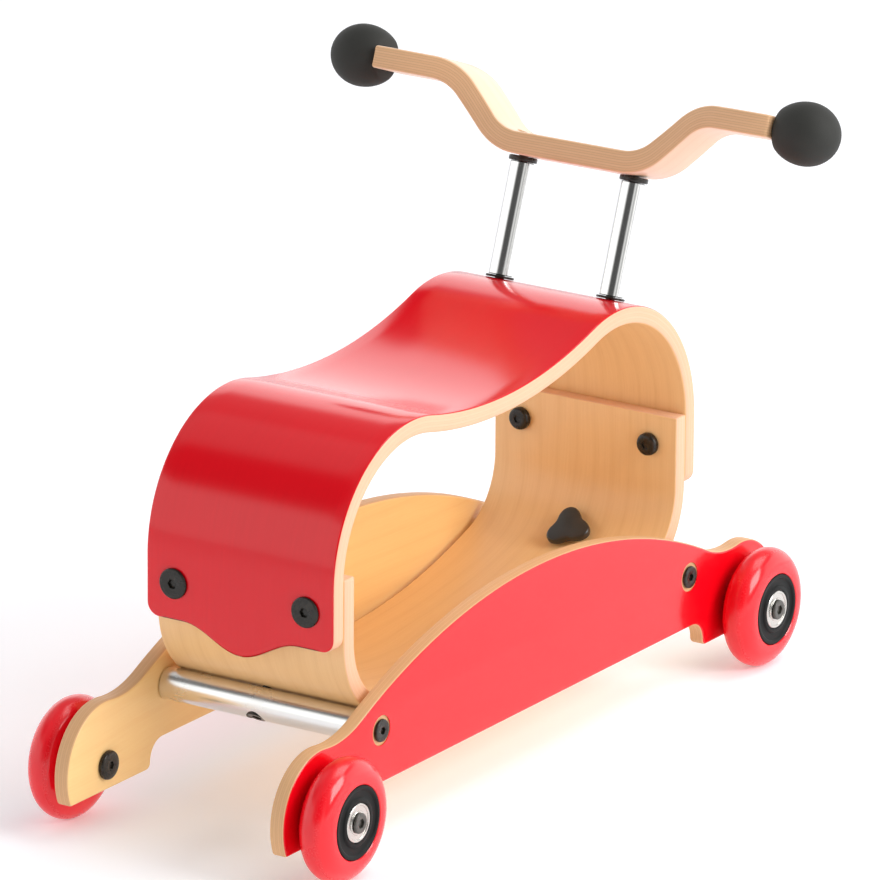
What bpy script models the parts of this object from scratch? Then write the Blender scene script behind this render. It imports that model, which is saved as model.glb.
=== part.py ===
"""Rocking ride-on toy: a bent plywood seat and handlebar on a four-wheeled chassis.

Units are metres. +X is the rider's right, +Y is the direction of travel and +Z is up.
The origin lies on the floor, midway between the two axles and between the side boards.
Names that end in _HEIGHT are measured up from the axle line, which stands one wheel
radius above the floor.
"""

import math

import bmesh
import bpy
from mathutils import Matrix, Vector

# Fits
CLEARANCE = 0.0003
EASED_EDGE = 0.0012

# Wheels
WHEELBASE = 0.436
WHEEL_RADIUS = 0.035
WHEEL_WIDTH = 0.0206
WHEEL_SIDE_GAP = 0.0035
HUB_RADIUS = 0.0208
TREAD_ROUND_RADIUS = 0.0116
HUB_DISH_DEPTH = 0.0012
HUB_RIM_WIDTH = 0.0022
BEARING_RADIUS = 0.011
BEARING_BORE = 0.004
BEARING_WIDTH = 0.007
BEARING_RING_RADIUS = 0.0062
BEARING_LIP = 0.0095

# Side boards
BOARD_INNER_FACE = 0.0665
BOARD_THICKNESS = 0.0095
BOARD_CROWN_HEIGHT = 0.0832
BOARD_ARCH_RADIUS = 0.415
BOARD_LOBE_RADIUS = 0.037
BOARD_VALLEY_RADIUS = 0.060
BOARD_BELLY_HEIGHT = 0.0005
BOARD_TOE_DROP = 0.015
BOARD_TOE_LENGTH = 0.0425
BOARD_NOTCH_RADIUS = 0.0115
BOARD_TOE_CORNER = 0.004

# Seat, made of an upper saddle and a lower cradle
BODY_LENGTH = 0.372
BODY_WIDTH = 0.124
SADDLE_PLY = 0.010
CRADLE_PLY = 0.010
REAR_HUMP_HEIGHT = 0.193
REAR_HUMP_RADIUS = 0.079
FRONT_HUMP_HEIGHT = 0.203
FRONT_HUMP_RADIUS = 0.083
DIP_RADIUS = 0.305
SKIRT_EDGE_HEIGHT = 0.079
SKIRT_TONGUE_DROP = 0.013
SKIRT_TONGUE_HALF_WIDTH = 0.038
SKIRT_CORNER_RADIUS = 0.008
REAR_WALL_HEIGHT = 0.119
FRONT_WALL_HEIGHT = 0.1225
CRADLE_CORNER_HEIGHT = 0.081
CRADLE_CORNER_RADIUS = 0.042
CRADLE_FLOOR_RADIUS = 0.400
REAR_BOLT_HEIGHT = 0.1005
FRONT_BOLT_HEIGHT = 0.1045
SEAT_BOLT_SPREAD = 0.0872

# Cross bars, which carry the cradle
CROSS_BAR_RADIUS = 0.0092
CROSS_BAR_ANGLE = math.radians(36)
CLAMP_OFFSET = 0.0030
CLAMP_HEAD_REACH = 0.0082

# Handlebar and its posts
POST_LEAN = math.radians(20)
POST_SPREAD = 0.0748
POST_REACH = 0.0715
POST_RADIUS = 0.007
POST_WASHER_RADIUS = 0.0083
FOOT_WASHER_THICKNESS = 0.0014
TOP_WASHER_THICKNESS = 0.0030
HANDLEBAR_PLY = 0.013
HANDLEBAR_FLAT_HALF = 0.0355
HANDLEBAR_BEND_RADIUS = 0.031
HANDLEBAR_BEND_ANGLE = math.radians(44.5)
HANDLEBAR_RISE = 0.0338
HANDLEBAR_DEPTH = 0.033
HANDLEBAR_SWEEP = 0.012
HANDLEBAR_SWEEP_START = 0.054
HANDLEBAR_SWEEP_LENGTH = 0.070
HANDLEBAR_SPAN = 0.2654
TONGUE_LENGTH = 0.0135
TONGUE_DEPTH = 0.020
TONGUE_THICKNESS = 0.010
GRIP_RADIUS = 0.0183
GRIP_NECK_RADIUS = 0.0125
GRIP_NECK_REACH = 0.0162
GRIP_LENGTH = 0.0360

# Fasteners
SEAT_BOLT = {"head": 0.0088, "height": 0.0016, "shank": 0.0029, "socket": 0.0026}
SEAT_NUT = {"radius": 0.0067, "height": 0.0040}
BOARD_SCREW = {"head": 0.0065, "height": 0.0018, "shank": 0.0027, "socket": 0.0021}
BOARD_SCREW_GRIP = 0.012
BOARD_RECESS_RADIUS = 0.0085
BOARD_RECESS_DEPTH = 0.0010
AXLE_BOLT = {"head": 0.0058, "height": 0.0015, "shank": 0.0037, "socket": 0.0026}
AXLE_NUT = {"radius": 0.0083, "height": 0.0028}
CHASSIS_BOLT = {"head": 0.0058, "height": 0.0050, "shank": 0.0029, "socket": 0.0026}
POST_SCREW = {"head": 0.0060, "height": 0.0030, "shank": 0.0027, "socket": 0.0021}
POST_SCREW_GRIP = 0.014
POST_SCREW_SINK = 0.0034
SOCKET_DEPTH = 0.0016
NUT_THREAD = 0.0020
BOLT_IN_NUT = 0.0014
NUT_EDGE = 0.0016
KNOB_RADIUS = 0.0141
KNOB_LOBES = 3
KNOB_LOBE_DEPTH = 0.0050
KNOB_REST_TURN = math.radians(113)
KNOB_HEIGHT = 0.0048
KNOB_BOSS_RADIUS = 0.0065
KNOB_BOSS_HEIGHT = 0.0025
KNOB_THREAD = 0.0050
KNOB_EDGE = 0.0018

# Facets
ARC_STEP = math.radians(8)
FLAT_ARC_STEP = math.radians(3)
WHEEL_FACETS = 24
BEARING_FACETS = 18
ROD_FACETS = 20
FASTENER_FACETS = 14
SHANK_FACETS = 12

# Places that follow from the sizes
BOARD_OUTER_FACE = BOARD_INNER_FACE + BOARD_THICKNESS
AXLE_HALF = WHEELBASE / 2
BODY_HALF_LENGTH = BODY_LENGTH / 2
BODY_HALF_WIDTH = BODY_WIDTH / 2
CRADLE_HALF_LENGTH = BODY_HALF_LENGTH - SADDLE_PLY - CLEARANCE
WHEEL_INNER_FACE = BOARD_OUTER_FACE + WHEEL_SIDE_GAP
WHEEL_OUTER_FACE = WHEEL_INNER_FACE + WHEEL_WIDTH
UP = Vector((0, 0, 1))


def above_axle(height):
    """Return the height over the floor of a height over the axle line."""
    return WHEEL_RADIUS + height


# Materials


def linear(level):
    """Return the linear value of one sRGB channel given as 0 to 255."""
    share = level / 255
    return share / 12.92 if share <= 0.04045 else ((share + 0.055) / 1.055) ** 2.4


def finish(name, red, green, blue, roughness, metallic=0.0):
    """Return a Principled material of one colour."""
    material = bpy.data.materials.new(name)
    material.use_nodes = True
    shader = material.node_tree.nodes["Principled BSDF"]
    shader.inputs["Base Color"].default_value = (linear(red), linear(green), linear(blue), 1)
    shader.inputs["Roughness"].default_value = roughness
    shader.inputs["Metallic"].default_value = metallic
    return material


def make_finishes():
    """Return every finish of the toy by name."""
    return {
        "red_lacquer": finish("red_lacquer", 214, 28, 38, 0.16),
        "natural_ply": finish("natural_ply", 226, 180, 124, 0.45),
        "bar_ply": finish("bar_ply", 214, 168, 118, 0.45),
        "aluminium": finish("aluminium", 214, 214, 212, 0.18, 1.0),
        "black_steel": finish("black_steel", 26, 27, 27, 0.35, 0.6),
        "black_rubber": finish("black_rubber", 45, 45, 43, 0.62),
        "black_plastic": finish("black_plastic", 38, 38, 36, 0.35),
        "red_tyre": finish("red_tyre", 228, 44, 50, 0.2),
        "bearing_steel": finish("bearing_steel", 200, 198, 192, 0.25, 1.0),
    }


# Mesh helpers


def clear_scene():
    """Remove every object of the scene."""
    for item in list(bpy.data.objects):
        bpy.data.objects.remove(item, do_unlink=True)


def add_object(name, mesh, material=None):
    """Link a new object for a mesh and give it its material."""
    item = bpy.data.objects.new(name, mesh)
    bpy.context.scene.collection.objects.link(item)
    if material is not None and not mesh.materials:
        mesh.materials.append(material)
    return item


def mesh_from(name, builder):
    """Close a bmesh into a mesh with its faces pointing out."""
    bmesh.ops.recalc_face_normals(builder, faces=builder.faces)
    mesh = bpy.data.meshes.new(name)
    builder.to_mesh(mesh)
    builder.free()
    return mesh


def arc(centre, radius, start, end, step=ARC_STEP):
    """Return points on an arc from one angle to another, both ends included."""
    count = max(1, math.ceil(abs(end - start) / step))
    angles = [start + (end - start) * i / count for i in range(count + 1)]
    return [(centre[0] + radius * math.cos(a), centre[1] + radius * math.sin(a)) for a in angles]


def angle_to(centre, point):
    """Return the angle of the line from a centre to a point."""
    return math.atan2(point[1] - centre[1], point[0] - centre[0])


def circles_meet(first, reach_first, second, reach_second, side):
    """Return where two circles cross, on the left (1) or right (-1) of first to second."""
    along = Vector((second[0] - first[0], second[1] - first[1]))
    gap = along.length
    near = (reach_first ** 2 - reach_second ** 2 + gap ** 2) / (2 * gap)
    off = math.sqrt(max(0.0, reach_first ** 2 - near ** 2))
    unit = along / gap
    left = Vector((-unit.y, unit.x))
    point = Vector(first) + unit * near + left * off * side
    return (point.x, point.y)


def unique(points):
    """Drop points that repeat the one before them."""
    kept = [points[0]]
    for point in points[1:]:
        if math.dist(point, kept[-1]) > 1e-6:
            kept.append(point)
    if math.dist(kept[0], kept[-1]) < 1e-6:
        kept.pop()
    return kept


def slab(name, outline, low, high, ease=0.0, place=None):
    """Extrude a closed outline in the YZ plane from low to high along X."""
    builder = bmesh.new()
    corners = [builder.verts.new((low, y, z)) for y, z in unique(outline)]
    base = builder.faces.new(corners)
    grown = bmesh.ops.extrude_face_region(builder, geom=[base])
    tips = [part for part in grown["geom"] if isinstance(part, bmesh.types.BMVert)]
    bmesh.ops.translate(builder, verts=tips, vec=(high - low, 0, 0))
    if ease:
        rims = [edge for edge in builder.edges
                if abs(edge.verts[0].co.x - edge.verts[1].co.x) < 1e-7]
        bmesh.ops.bevel(builder, geom=rims, offset=ease, segments=1, profile=0.5,
                        affect="EDGES", material=-1)
    if place is not None:
        bmesh.ops.transform(builder, matrix=place, verts=builder.verts)
    return mesh_from(name, builder)


def turned(name, profile, facets):
    """Turn a profile of (radius, z) points round the local Z axis.

    A profile that starts and ends on the axis makes a solid piece, and any other
    profile is closed into a ring.
    """
    builder = bmesh.new()
    points = [builder.verts.new((radius, 0, z)) for radius, z in profile]
    is_ring = profile[0][0] > 0
    pairs = zip(points, points[1:] + points[:1]) if is_ring else zip(points, points[1:])
    edges = [builder.edges.new(pair) for pair in pairs]
    bmesh.ops.spin(builder, geom=points + edges, cent=(0, 0, 0), axis=(0, 0, 1),
                   angle=2 * math.pi, steps=facets, use_merge=True)
    bmesh.ops.remove_doubles(builder, verts=builder.verts, dist=1e-6)
    mesh = mesh_from(name, builder)
    mesh.shade_smooth()
    mesh.set_sharp_from_angle(angle=math.radians(35))
    return mesh


def set_at(item, point, direction):
    """Place an object at a point with its local Z along a direction."""
    item.location = point
    item.rotation_euler = direction.to_track_quat("Z", "Y").to_euler()
    return item


def cutter(name, mesh, point=(0, 0, 0), direction=UP):
    """Make a hidden cutting tool."""
    item = set_at(add_object(name, mesh), point, direction)
    item.hide_render = True
    item.display_type = "WIRE"
    return item


def carve(item, tools, operation="DIFFERENCE"):
    """Cut tools out of an object for good and remove them."""
    for number, tool in enumerate(tools):
        step = item.modifiers.new(f"cut_{number}", "BOOLEAN")
        step.object = tool
        step.operation = operation
        step.solver = "EXACT"
    bpy.context.view_layer.update()
    finished = item.evaluated_get(bpy.context.evaluated_depsgraph_get())
    mesh = bpy.data.meshes.new_from_object(finished)
    item.modifiers.clear()
    item.data = mesh
    for tool in tools:
        bpy.data.objects.remove(tool, do_unlink=True)
    return item


def drill(name, radius, depth, point, direction):
    """Return a round cutter that starts at a point and runs along a direction."""
    mesh = turned(name, [(0, depth), (radius, depth), (radius, 0), (0, 0)], SHANK_FACETS)
    return cutter(name, mesh, point, direction)


def settle(radius, half_width):
    """Return how far a curved seat rises within a half width, facets included."""
    facet = radius * (1 - math.cos(ARC_STEP / 2))
    return radius - math.sqrt(radius ** 2 - half_width ** 2) + facet


# Fasteners


def bolt_mesh(name, size, length):
    """Make a socket bolt: its seat is at local zero and its shank runs to +Z."""
    head, height, shank = size["head"], size["height"], size["shank"]
    ease = min(EASED_EDGE, height / 3)
    profile = [(0, -height), (head - ease, -height), (head, ease - height), (head, 0),
               (shank, 0), (shank, length), (0, length)]
    blank = add_object(name, turned(name, profile, FASTENER_FACETS))
    hexagon = [(0, SOCKET_DEPTH - height), (size["socket"], SOCKET_DEPTH - height),
               (size["socket"], -2 * height), (0, -2 * height)]
    carve(blank, [cutter("hex_key", turned("hex_key", hexagon, 6))])
    mesh = blank.data
    bpy.data.objects.remove(blank, do_unlink=True)
    return mesh


def cap_nut_mesh(name, size, bore):
    """Make a domed nut: its seat is at local zero and its dome rises along +Z."""
    radius, height = size["radius"], size["height"]
    shoulder = height - NUT_EDGE / 4
    profile = [(0, NUT_THREAD), (bore, NUT_THREAD), (bore, 0), (radius, 0),
               (radius, height - NUT_EDGE), (radius - NUT_EDGE, shoulder), (0, height)]
    return turned(name, profile, FASTENER_FACETS)


def washer_mesh(name, radius, bore, thickness):
    """Make a plain washer with its lower face at local zero."""
    profile = [(bore, 0), (radius, 0), (radius, thickness), (bore, thickness)]
    return turned(name, profile, FASTENER_FACETS)


# Wheels


def tyre_mesh():
    """Make the rounded tyre, centred on its own axis."""
    half = WHEEL_WIDTH / 2
    bore = HUB_RADIUS + CLEARANCE
    round_centre = WHEEL_RADIUS - TREAD_ROUND_RADIUS
    tread = [(round_centre + TREAD_ROUND_RADIUS * math.cos(a), half * math.sin(a))
             for a in (math.radians(90 - 22.5 * i) for i in range(9))]
    return turned("tyre", [(bore, half)] + tread + [(bore, -half)], WHEEL_FACETS)


def hub_mesh():
    """Make the hub with a dish in its outer face and a seat for each bearing."""
    half = WHEEL_WIDTH / 2
    seat = BEARING_RADIUS + CLEARANCE
    seat_floor = half - BEARING_WIDTH - CLEARANCE
    rim = HUB_RADIUS - HUB_RIM_WIDTH
    boss = seat + HUB_RIM_WIDTH
    dish = half - HUB_DISH_DEPTH
    outer = [(HUB_RADIUS, half), (rim, half), (rim, dish), (boss, dish), (boss, half),
             (seat, half), (seat, seat_floor), (BEARING_LIP, seat_floor)]
    inner = [(BEARING_LIP, -seat_floor), (seat, -seat_floor), (seat, -half), (HUB_RADIUS, -half)]
    return turned("hub", outer + inner, WHEEL_FACETS)


def bearing_mesh(name, boss_out, boss_in):
    """Make a ball bearing as one ring, with its outer face at local zero.

    Its inner ring may stand proud of the outer face, as the side washer does, and run
    inwards, as the sleeve between the two bearings does.
    """
    back = -boss_in - BEARING_WIDTH
    profile = [(BEARING_BORE, back), (BEARING_RING_RADIUS, back), (BEARING_RING_RADIUS, -BEARING_WIDTH),
               (BEARING_RADIUS, -BEARING_WIDTH), (BEARING_RADIUS, 0), (BEARING_RING_RADIUS, 0),
               (BEARING_RING_RADIUS, boss_out), (BEARING_BORE, boss_out)]
    kept = [point for i, point in enumerate(profile) if point != profile[i - 1]]
    return turned(name, kept, BEARING_FACETS)


def make_wheels(finishes):
    """Build the four wheels with their bearings, bolts and nuts."""
    tyre = tyre_mesh()
    hub = hub_mesh()
    between = WHEEL_WIDTH - 2 * BEARING_WIDTH - CLEARANCE
    inner = bearing_mesh("bearing_inner", WHEEL_SIDE_GAP - CLEARANCE, between)
    outer = bearing_mesh("bearing_outer", 0, 0)
    seat = WHEEL_OUTER_FACE + CLEARANCE
    bolt = bolt_mesh("axle_bolt", AXLE_BOLT, seat - BOARD_INNER_FACE + CLEARANCE + BOLT_IN_NUT)
    nut = cap_nut_mesh("axle_nut", AXLE_NUT, AXLE_BOLT["shank"] + CLEARANCE)
    for along, end in ((1, "front"), (-1, "rear")):
        for side, hand in ((1, "right"), (-1, "left")):
            place = f"{end}_{hand}"
            out = Vector((side, 0, 0))
            axle = Vector((0, along * AXLE_HALF, WHEEL_RADIUS))
            middle = axle + out * (WHEEL_INNER_FACE + WHEEL_WIDTH / 2)
            set_at(add_object(f"tyre_{place}", tyre, finishes["red_tyre"]), middle, out)
            set_at(add_object(f"hub_{place}", hub, finishes["black_plastic"]), middle, out)
            set_at(add_object(f"bearing_inner_{place}", inner, finishes["bearing_steel"]),
                   axle + out * WHEEL_INNER_FACE, -out)
            set_at(add_object(f"bearing_outer_{place}", outer, finishes["bearing_steel"]),
                   axle + out * WHEEL_OUTER_FACE, out)
            set_at(add_object(f"axle_bolt_{place}", bolt, finishes["black_steel"]), axle + out * seat, -out)
            set_at(add_object(f"axle_nut_{place}", nut, finishes["black_steel"]),
                   axle + out * (BOARD_INNER_FACE - CLEARANCE), -out)


# Chassis


def cross_bar_centre(along):
    """Return the centre of the front (1) or rear (-1) cross bar, under a bent corner."""
    corner = cradle_corner(along)
    reach = CRADLE_CORNER_RADIUS + CRADLE_PLY + CLEARANCE + CROSS_BAR_RADIUS
    return Vector((0, corner[0], corner[1])) - bolt_direction(along) * reach


def clamp_axis_point(along, reach):
    """Return the point of a clamp's axis at a distance from its bent corner's centre."""
    corner = Vector((along * CLAMP_OFFSET, *cradle_corner(along)))
    return corner - bolt_direction(along) * reach


def bolt_direction(along):
    """Return the way a chassis bolt points, from its cross bar up into the cradle."""
    return Vector((0, -along * math.sin(CROSS_BAR_ANGLE), math.cos(CROSS_BAR_ANGLE)))


def board_outline():
    """Return the outline of a side board as a closed list of (y, z) points."""
    axle = (AXLE_HALF, WHEEL_RADIUS)
    arch = (0.0, above_axle(BOARD_CROWN_HEIGHT) - BOARD_ARCH_RADIUS)
    valley = circles_meet(arch, BOARD_ARCH_RADIUS + BOARD_VALLEY_RADIUS,
                          axle, BOARD_LOBE_RADIUS + BOARD_VALLEY_RADIUS, 1)
    belly = above_axle(BOARD_BELLY_HEIGHT)
    toe = above_axle(-BOARD_TOE_DROP)
    toe_side = AXLE_HALF - BOARD_TOE_LENGTH
    corner = BOARD_TOE_CORNER
    notch = BOARD_NOTCH_RADIUS
    half = []
    half += arc(arch, BOARD_ARCH_RADIUS, math.pi / 2, angle_to(arch, valley), FLAT_ARC_STEP)
    half += arc(valley, BOARD_VALLEY_RADIUS, angle_to(valley, arch), angle_to(valley, axle))
    half += arc(axle, BOARD_LOBE_RADIUS, angle_to(axle, valley),
                -math.asin(BOARD_TOE_DROP / BOARD_LOBE_RADIUS))
    half += arc((toe_side + corner, toe + corner), corner, -math.pi / 2, -math.pi, 2 * ARC_STEP)
    half += arc((toe_side - notch, belly - notch), notch, 0, math.pi / 2, 2 * ARC_STEP)
    other = [(-y, z) for y, z in reversed(half)]
    return half + other


def make_boards(finishes):
    """Build the two side boards with their holes and recesses."""
    outline = board_outline()
    depth = BOARD_RECESS_DEPTH
    radius = BOARD_SCREW["shank"] + CLEARANCE
    recess = [(0, 2 * BOARD_THICKNESS), (radius, 2 * BOARD_THICKNESS), (radius, depth),
              (BOARD_RECESS_RADIUS, depth), (BOARD_RECESS_RADIUS, -depth), (0, -depth)]
    for side, hand in ((1, "right"), (-1, "left")):
        faces = sorted((side * BOARD_INNER_FACE, side * BOARD_OUTER_FACE))
        board = add_object(f"side_board_{hand}",
                           slab("side_board", outline, faces[0], faces[1], EASED_EDGE),
                           finishes["red_lacquer"])
        tools = []
        for along in (1, -1):
            bar = cross_bar_centre(along)
            tools.append(cutter("recess", turned("recess", recess, FASTENER_FACETS),
                                bar + Vector((side * BOARD_OUTER_FACE, 0, 0)), Vector((-side, 0, 0))))
            start = Vector((side * (BOARD_INNER_FACE - BOARD_THICKNESS), along * AXLE_HALF, WHEEL_RADIUS))
            tools.append(drill("axle_hole", AXLE_BOLT["shank"] + CLEARANCE, 3 * BOARD_THICKNESS,
                               start, Vector((side, 0, 0))))
        carve(board, tools)


def make_cross_bars(finishes):
    """Build the two cross bars, their end screws and the bolts that reach the cradle."""
    half = BOARD_INNER_FACE - CLEARANCE
    seat = BOARD_OUTER_FACE - BOARD_RECESS_DEPTH + CLEARANCE
    thread = BOARD_SCREW["shank"] + CLEARANCE
    screw = bolt_mesh("cross_bar_screw", BOARD_SCREW, seat - half + BOARD_SCREW_GRIP)
    rod = [(0, -half), (CROSS_BAR_RADIUS, -half), (CROSS_BAR_RADIUS, half), (0, half)]
    for along, end in ((1, "front"), (-1, "rear")):
        centre = cross_bar_centre(along)
        way = bolt_direction(along)
        bar = add_object(f"cross_bar_{end}", turned("cross_bar", rod, ROD_FACETS), finishes["aluminium"])
        set_at(bar, centre, Vector((1, 0, 0)))
        start = clamp_axis_point(along, clamp_seat_reach() + 2 * CROSS_BAR_RADIUS)
        wide, narrow = CHASSIS_BOLT["head"] + CLEARANCE, CHASSIS_BOLT["shank"] + CLEARANCE
        bore = [(0, 4 * CROSS_BAR_RADIUS), (narrow, 4 * CROSS_BAR_RADIUS),
                (narrow, 2 * CROSS_BAR_RADIUS), (wide, 2 * CROSS_BAR_RADIUS), (wide, 0), (0, 0)]
        tools = [cutter("clamp_bore", turned("clamp_bore", bore, FASTENER_FACETS), start, way)]
        for side, hand in ((1, "right"), (-1, "left")):
            out = Vector((side, 0, 0))
            tools.append(drill("screw_hole", thread, 2 * BOARD_SCREW_GRIP,
                               centre + out * (half - BOARD_SCREW_GRIP - CLEARANCE), out))
            set_at(add_object(f"cross_bar_screw_{end}_{hand}", screw, finishes["black_steel"]),
                   centre + out * seat, -out)
        carve(bar, tools)


def knob_mesh():
    """Make the lobed clamping knob: its boss seats at local zero and it rises along +Z."""
    builder = bmesh.new()
    count = KNOB_LOBES * 8
    levels = [(0, KNOB_BOSS_RADIUS, 0), (KNOB_BOSS_HEIGHT, KNOB_BOSS_RADIUS, 0),
              (KNOB_BOSS_HEIGHT, KNOB_RADIUS, KNOB_LOBE_DEPTH),
              (KNOB_BOSS_HEIGHT + KNOB_HEIGHT - KNOB_EDGE, KNOB_RADIUS, KNOB_LOBE_DEPTH),
              (KNOB_BOSS_HEIGHT + KNOB_HEIGHT, KNOB_RADIUS - KNOB_EDGE, KNOB_LOBE_DEPTH)]
    rings = []
    for height, radius, depth in levels:
        ring = []
        for i in range(count):
            turn = 2 * math.pi * i / count
            swing = math.cos(KNOB_LOBES * (turn - KNOB_REST_TURN))
            reach = radius - depth * (0.5 - 0.5 * swing)
            ring.append(builder.verts.new((reach * math.cos(turn), reach * math.sin(turn), height)))
        rings.append(ring)
    for low, high in zip(rings, rings[1:]):
        for i in range(count):
            builder.faces.new((low[i - 1], low[i], high[i], high[i - 1]))
    builder.faces.new(rings[-1])
    builder.faces.new(list(reversed(rings[0])))
    return mesh_from("chassis_knob", builder)


def make_clamps(finishes):
    """Build the two bolts and lobed knobs that hold the seat on the cross bars."""
    seat = CRADLE_CORNER_RADIUS - settle(CRADLE_CORNER_RADIUS, KNOB_BOSS_RADIUS) - CLEARANCE
    start = clamp_seat_reach() + CLEARANCE
    bolt = bolt_mesh("chassis_bolt", CHASSIS_BOLT, start - seat + KNOB_THREAD - CLEARANCE)
    for along, end in ((1, "front"), (-1, "rear")):
        way = bolt_direction(along)
        set_at(add_object(f"chassis_bolt_{end}", bolt, finishes["black_steel"]),
               clamp_axis_point(along, start), way)
        knob = add_object(f"chassis_knob_{end}", knob_mesh(), finishes["black_plastic"])
        set_at(knob, clamp_axis_point(along, seat), way)
        thread = drill("thread", CHASSIS_BOLT["shank"] + CLEARANCE, KNOB_THREAD + KNOB_BOSS_HEIGHT,
                       clamp_axis_point(along, seat + KNOB_BOSS_HEIGHT), way)
        carve(knob, [thread])


def clamp_seat_reach():
    """Return how far a clamp bolt's head seat lies from its bent corner's centre."""
    bar = CRADLE_CORNER_RADIUS + CRADLE_PLY + CLEARANCE + CROSS_BAR_RADIUS
    return bar + CLAMP_HEAD_REACH - CHASSIS_BOLT["height"]


# Seat


def saddle_line(inset):
    """Return the saddle's side profile, drawn in by an inset, from rear foot to front foot."""
    rear = (-BODY_HALF_LENGTH + REAR_HUMP_RADIUS, above_axle(REAR_HUMP_HEIGHT) - REAR_HUMP_RADIUS)
    front = (BODY_HALF_LENGTH - FRONT_HUMP_RADIUS, above_axle(FRONT_HUMP_HEIGHT) - FRONT_HUMP_RADIUS)
    dip = circles_meet(rear, REAR_HUMP_RADIUS + DIP_RADIUS, front, FRONT_HUMP_RADIUS + DIP_RADIUS, 1)
    foot = above_axle(SKIRT_EDGE_HEIGHT - SKIRT_TONGUE_DROP)
    points = [(-BODY_HALF_LENGTH + inset, foot)]
    points += arc(rear, REAR_HUMP_RADIUS - inset, math.pi, angle_to(rear, dip))
    points += arc(dip, DIP_RADIUS + inset, angle_to(dip, rear), angle_to(dip, front), FLAT_ARC_STEP)
    points += arc(front, FRONT_HUMP_RADIUS - inset, angle_to(front, dip), 0)
    points += [(BODY_HALF_LENGTH - inset, foot)]
    return points


def skirt_trim():
    """Return the outline, in (x, z), of what is cut away below a skirt's wavy edge."""
    edge = above_axle(SKIRT_EDGE_HEIGHT)
    corner = SKIRT_CORNER_RADIUS
    turn_in = BODY_HALF_WIDTH - corner
    half = arc((turn_in, edge + corner), corner, 0, -math.pi / 2, 2 * ARC_STEP)
    for i in range(12):
        x = SKIRT_TONGUE_HALF_WIDTH * (1 - i / 12)
        wave = 0.5 + 0.5 * math.cos(math.pi * x / SKIRT_TONGUE_HALF_WIDTH)
        half.append((x, edge - SKIRT_TONGUE_DROP * wave))
    middle = [(0.0, edge - SKIRT_TONGUE_DROP)]
    other = [(-x, z) for x, z in reversed(half)]
    wide = BODY_HALF_WIDTH + SADDLE_PLY
    low = edge - SKIRT_TONGUE_DROP - SADDLE_PLY
    return [(wide, half[0][1])] + half + middle + other + [(-wide, half[0][1]), (-wide, low), (wide, low)]


def post_foot(side):
    """Return where a post's axis meets the saddle's top surface."""
    centre = Vector((0, BODY_HALF_LENGTH - FRONT_HUMP_RADIUS,
                     above_axle(FRONT_HUMP_HEIGHT) - FRONT_HUMP_RADIUS))
    return centre + post_way() * FRONT_HUMP_RADIUS + Vector((side * POST_SPREAD / 2, 0, 0))


def post_way():
    """Return the direction in which the posts rise."""
    return Vector((0, math.sin(POST_LEAN), math.cos(POST_LEAN)))


def make_saddle(finishes):
    """Build the bent saddle with its wavy skirts and its holes."""
    outline = saddle_line(0) + list(reversed(saddle_line(SADDLE_PLY)))
    saddle = add_object("saddle", slab("saddle", outline, -BODY_HALF_WIDTH, BODY_HALF_WIDTH, EASED_EDGE),
                        finishes["red_lacquer"])
    trim = slab("skirt_trim", skirt_trim(), -SADDLE_PLY * 2, SADDLE_PLY * 2,
                place=Matrix(((0, 1, 0, 0), (1, 0, 0, 0), (0, 0, 1, 0), (0, 0, 0, 1))))
    tools = []
    for along in (1, -1):
        tools.append(cutter("skirt_trim", trim, (0, along * BODY_HALF_LENGTH, 0)))
        for side in (1, -1):
            tools.append(seat_bolt_drill(along, side))
    for side in (1, -1):
        tools.append(drill("post_hole", POST_SCREW["shank"] + CLEARANCE, 4 * SADDLE_PLY,
                           post_foot(side) - post_way() * 2 * SADDLE_PLY, post_way()))
    carve(saddle, tools)


def seat_bolt_point(along, side, outset):
    """Return a point on a seat bolt's axis at a distance outside the skirt's face."""
    height = FRONT_BOLT_HEIGHT if along > 0 else REAR_BOLT_HEIGHT
    return Vector((side * SEAT_BOLT_SPREAD / 2, along * (BODY_HALF_LENGTH + outset), above_axle(height)))


def seat_bolt_drill(along, side):
    """Return the cutter of one seat bolt's hole through skirt and cradle wall."""
    start = seat_bolt_point(along, side, SADDLE_PLY)
    reach = 3 * SADDLE_PLY + 2 * CRADLE_PLY
    return drill("seat_bolt_hole", SEAT_BOLT["shank"] + CLEARANCE, reach, start, Vector((0, -along, 0)))


def cradle_corner(along):
    """Return the (y, z) centre of the front (1) or rear (-1) bent corner of the cradle."""
    reach = CRADLE_HALF_LENGTH - CRADLE_PLY - CRADLE_CORNER_RADIUS
    return (along * reach, above_axle(CRADLE_CORNER_HEIGHT))


def cradle_line(outset):
    """Return the cradle's side profile, grown by an outset, from rear wall to front wall."""
    rear, front = cradle_corner(-1), cradle_corner(1)
    reach = CRADLE_FLOOR_RADIUS - CRADLE_CORNER_RADIUS
    floor = (0.0, front[1] + math.sqrt(reach ** 2 - front[0] ** 2))
    wall = CRADLE_HALF_LENGTH - CRADLE_PLY + outset
    corner = CRADLE_CORNER_RADIUS + outset
    rear_top, front_top = above_axle(REAR_WALL_HEIGHT), above_axle(FRONT_WALL_HEIGHT)
    ease = EASED_EDGE if outset else -EASED_EDGE
    points = [(ease - wall, rear_top), (-wall, rear_top - EASED_EDGE)]
    points += arc(rear, corner, math.pi, 2 * math.pi + angle_to(floor, rear))
    points += arc(floor, CRADLE_FLOOR_RADIUS + outset, angle_to(floor, rear), angle_to(floor, front),
                  FLAT_ARC_STEP)
    points += arc(front, corner, angle_to(floor, front), 0)
    points += [(wall, front_top - EASED_EDGE), (wall - ease, front_top)]
    return points


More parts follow.
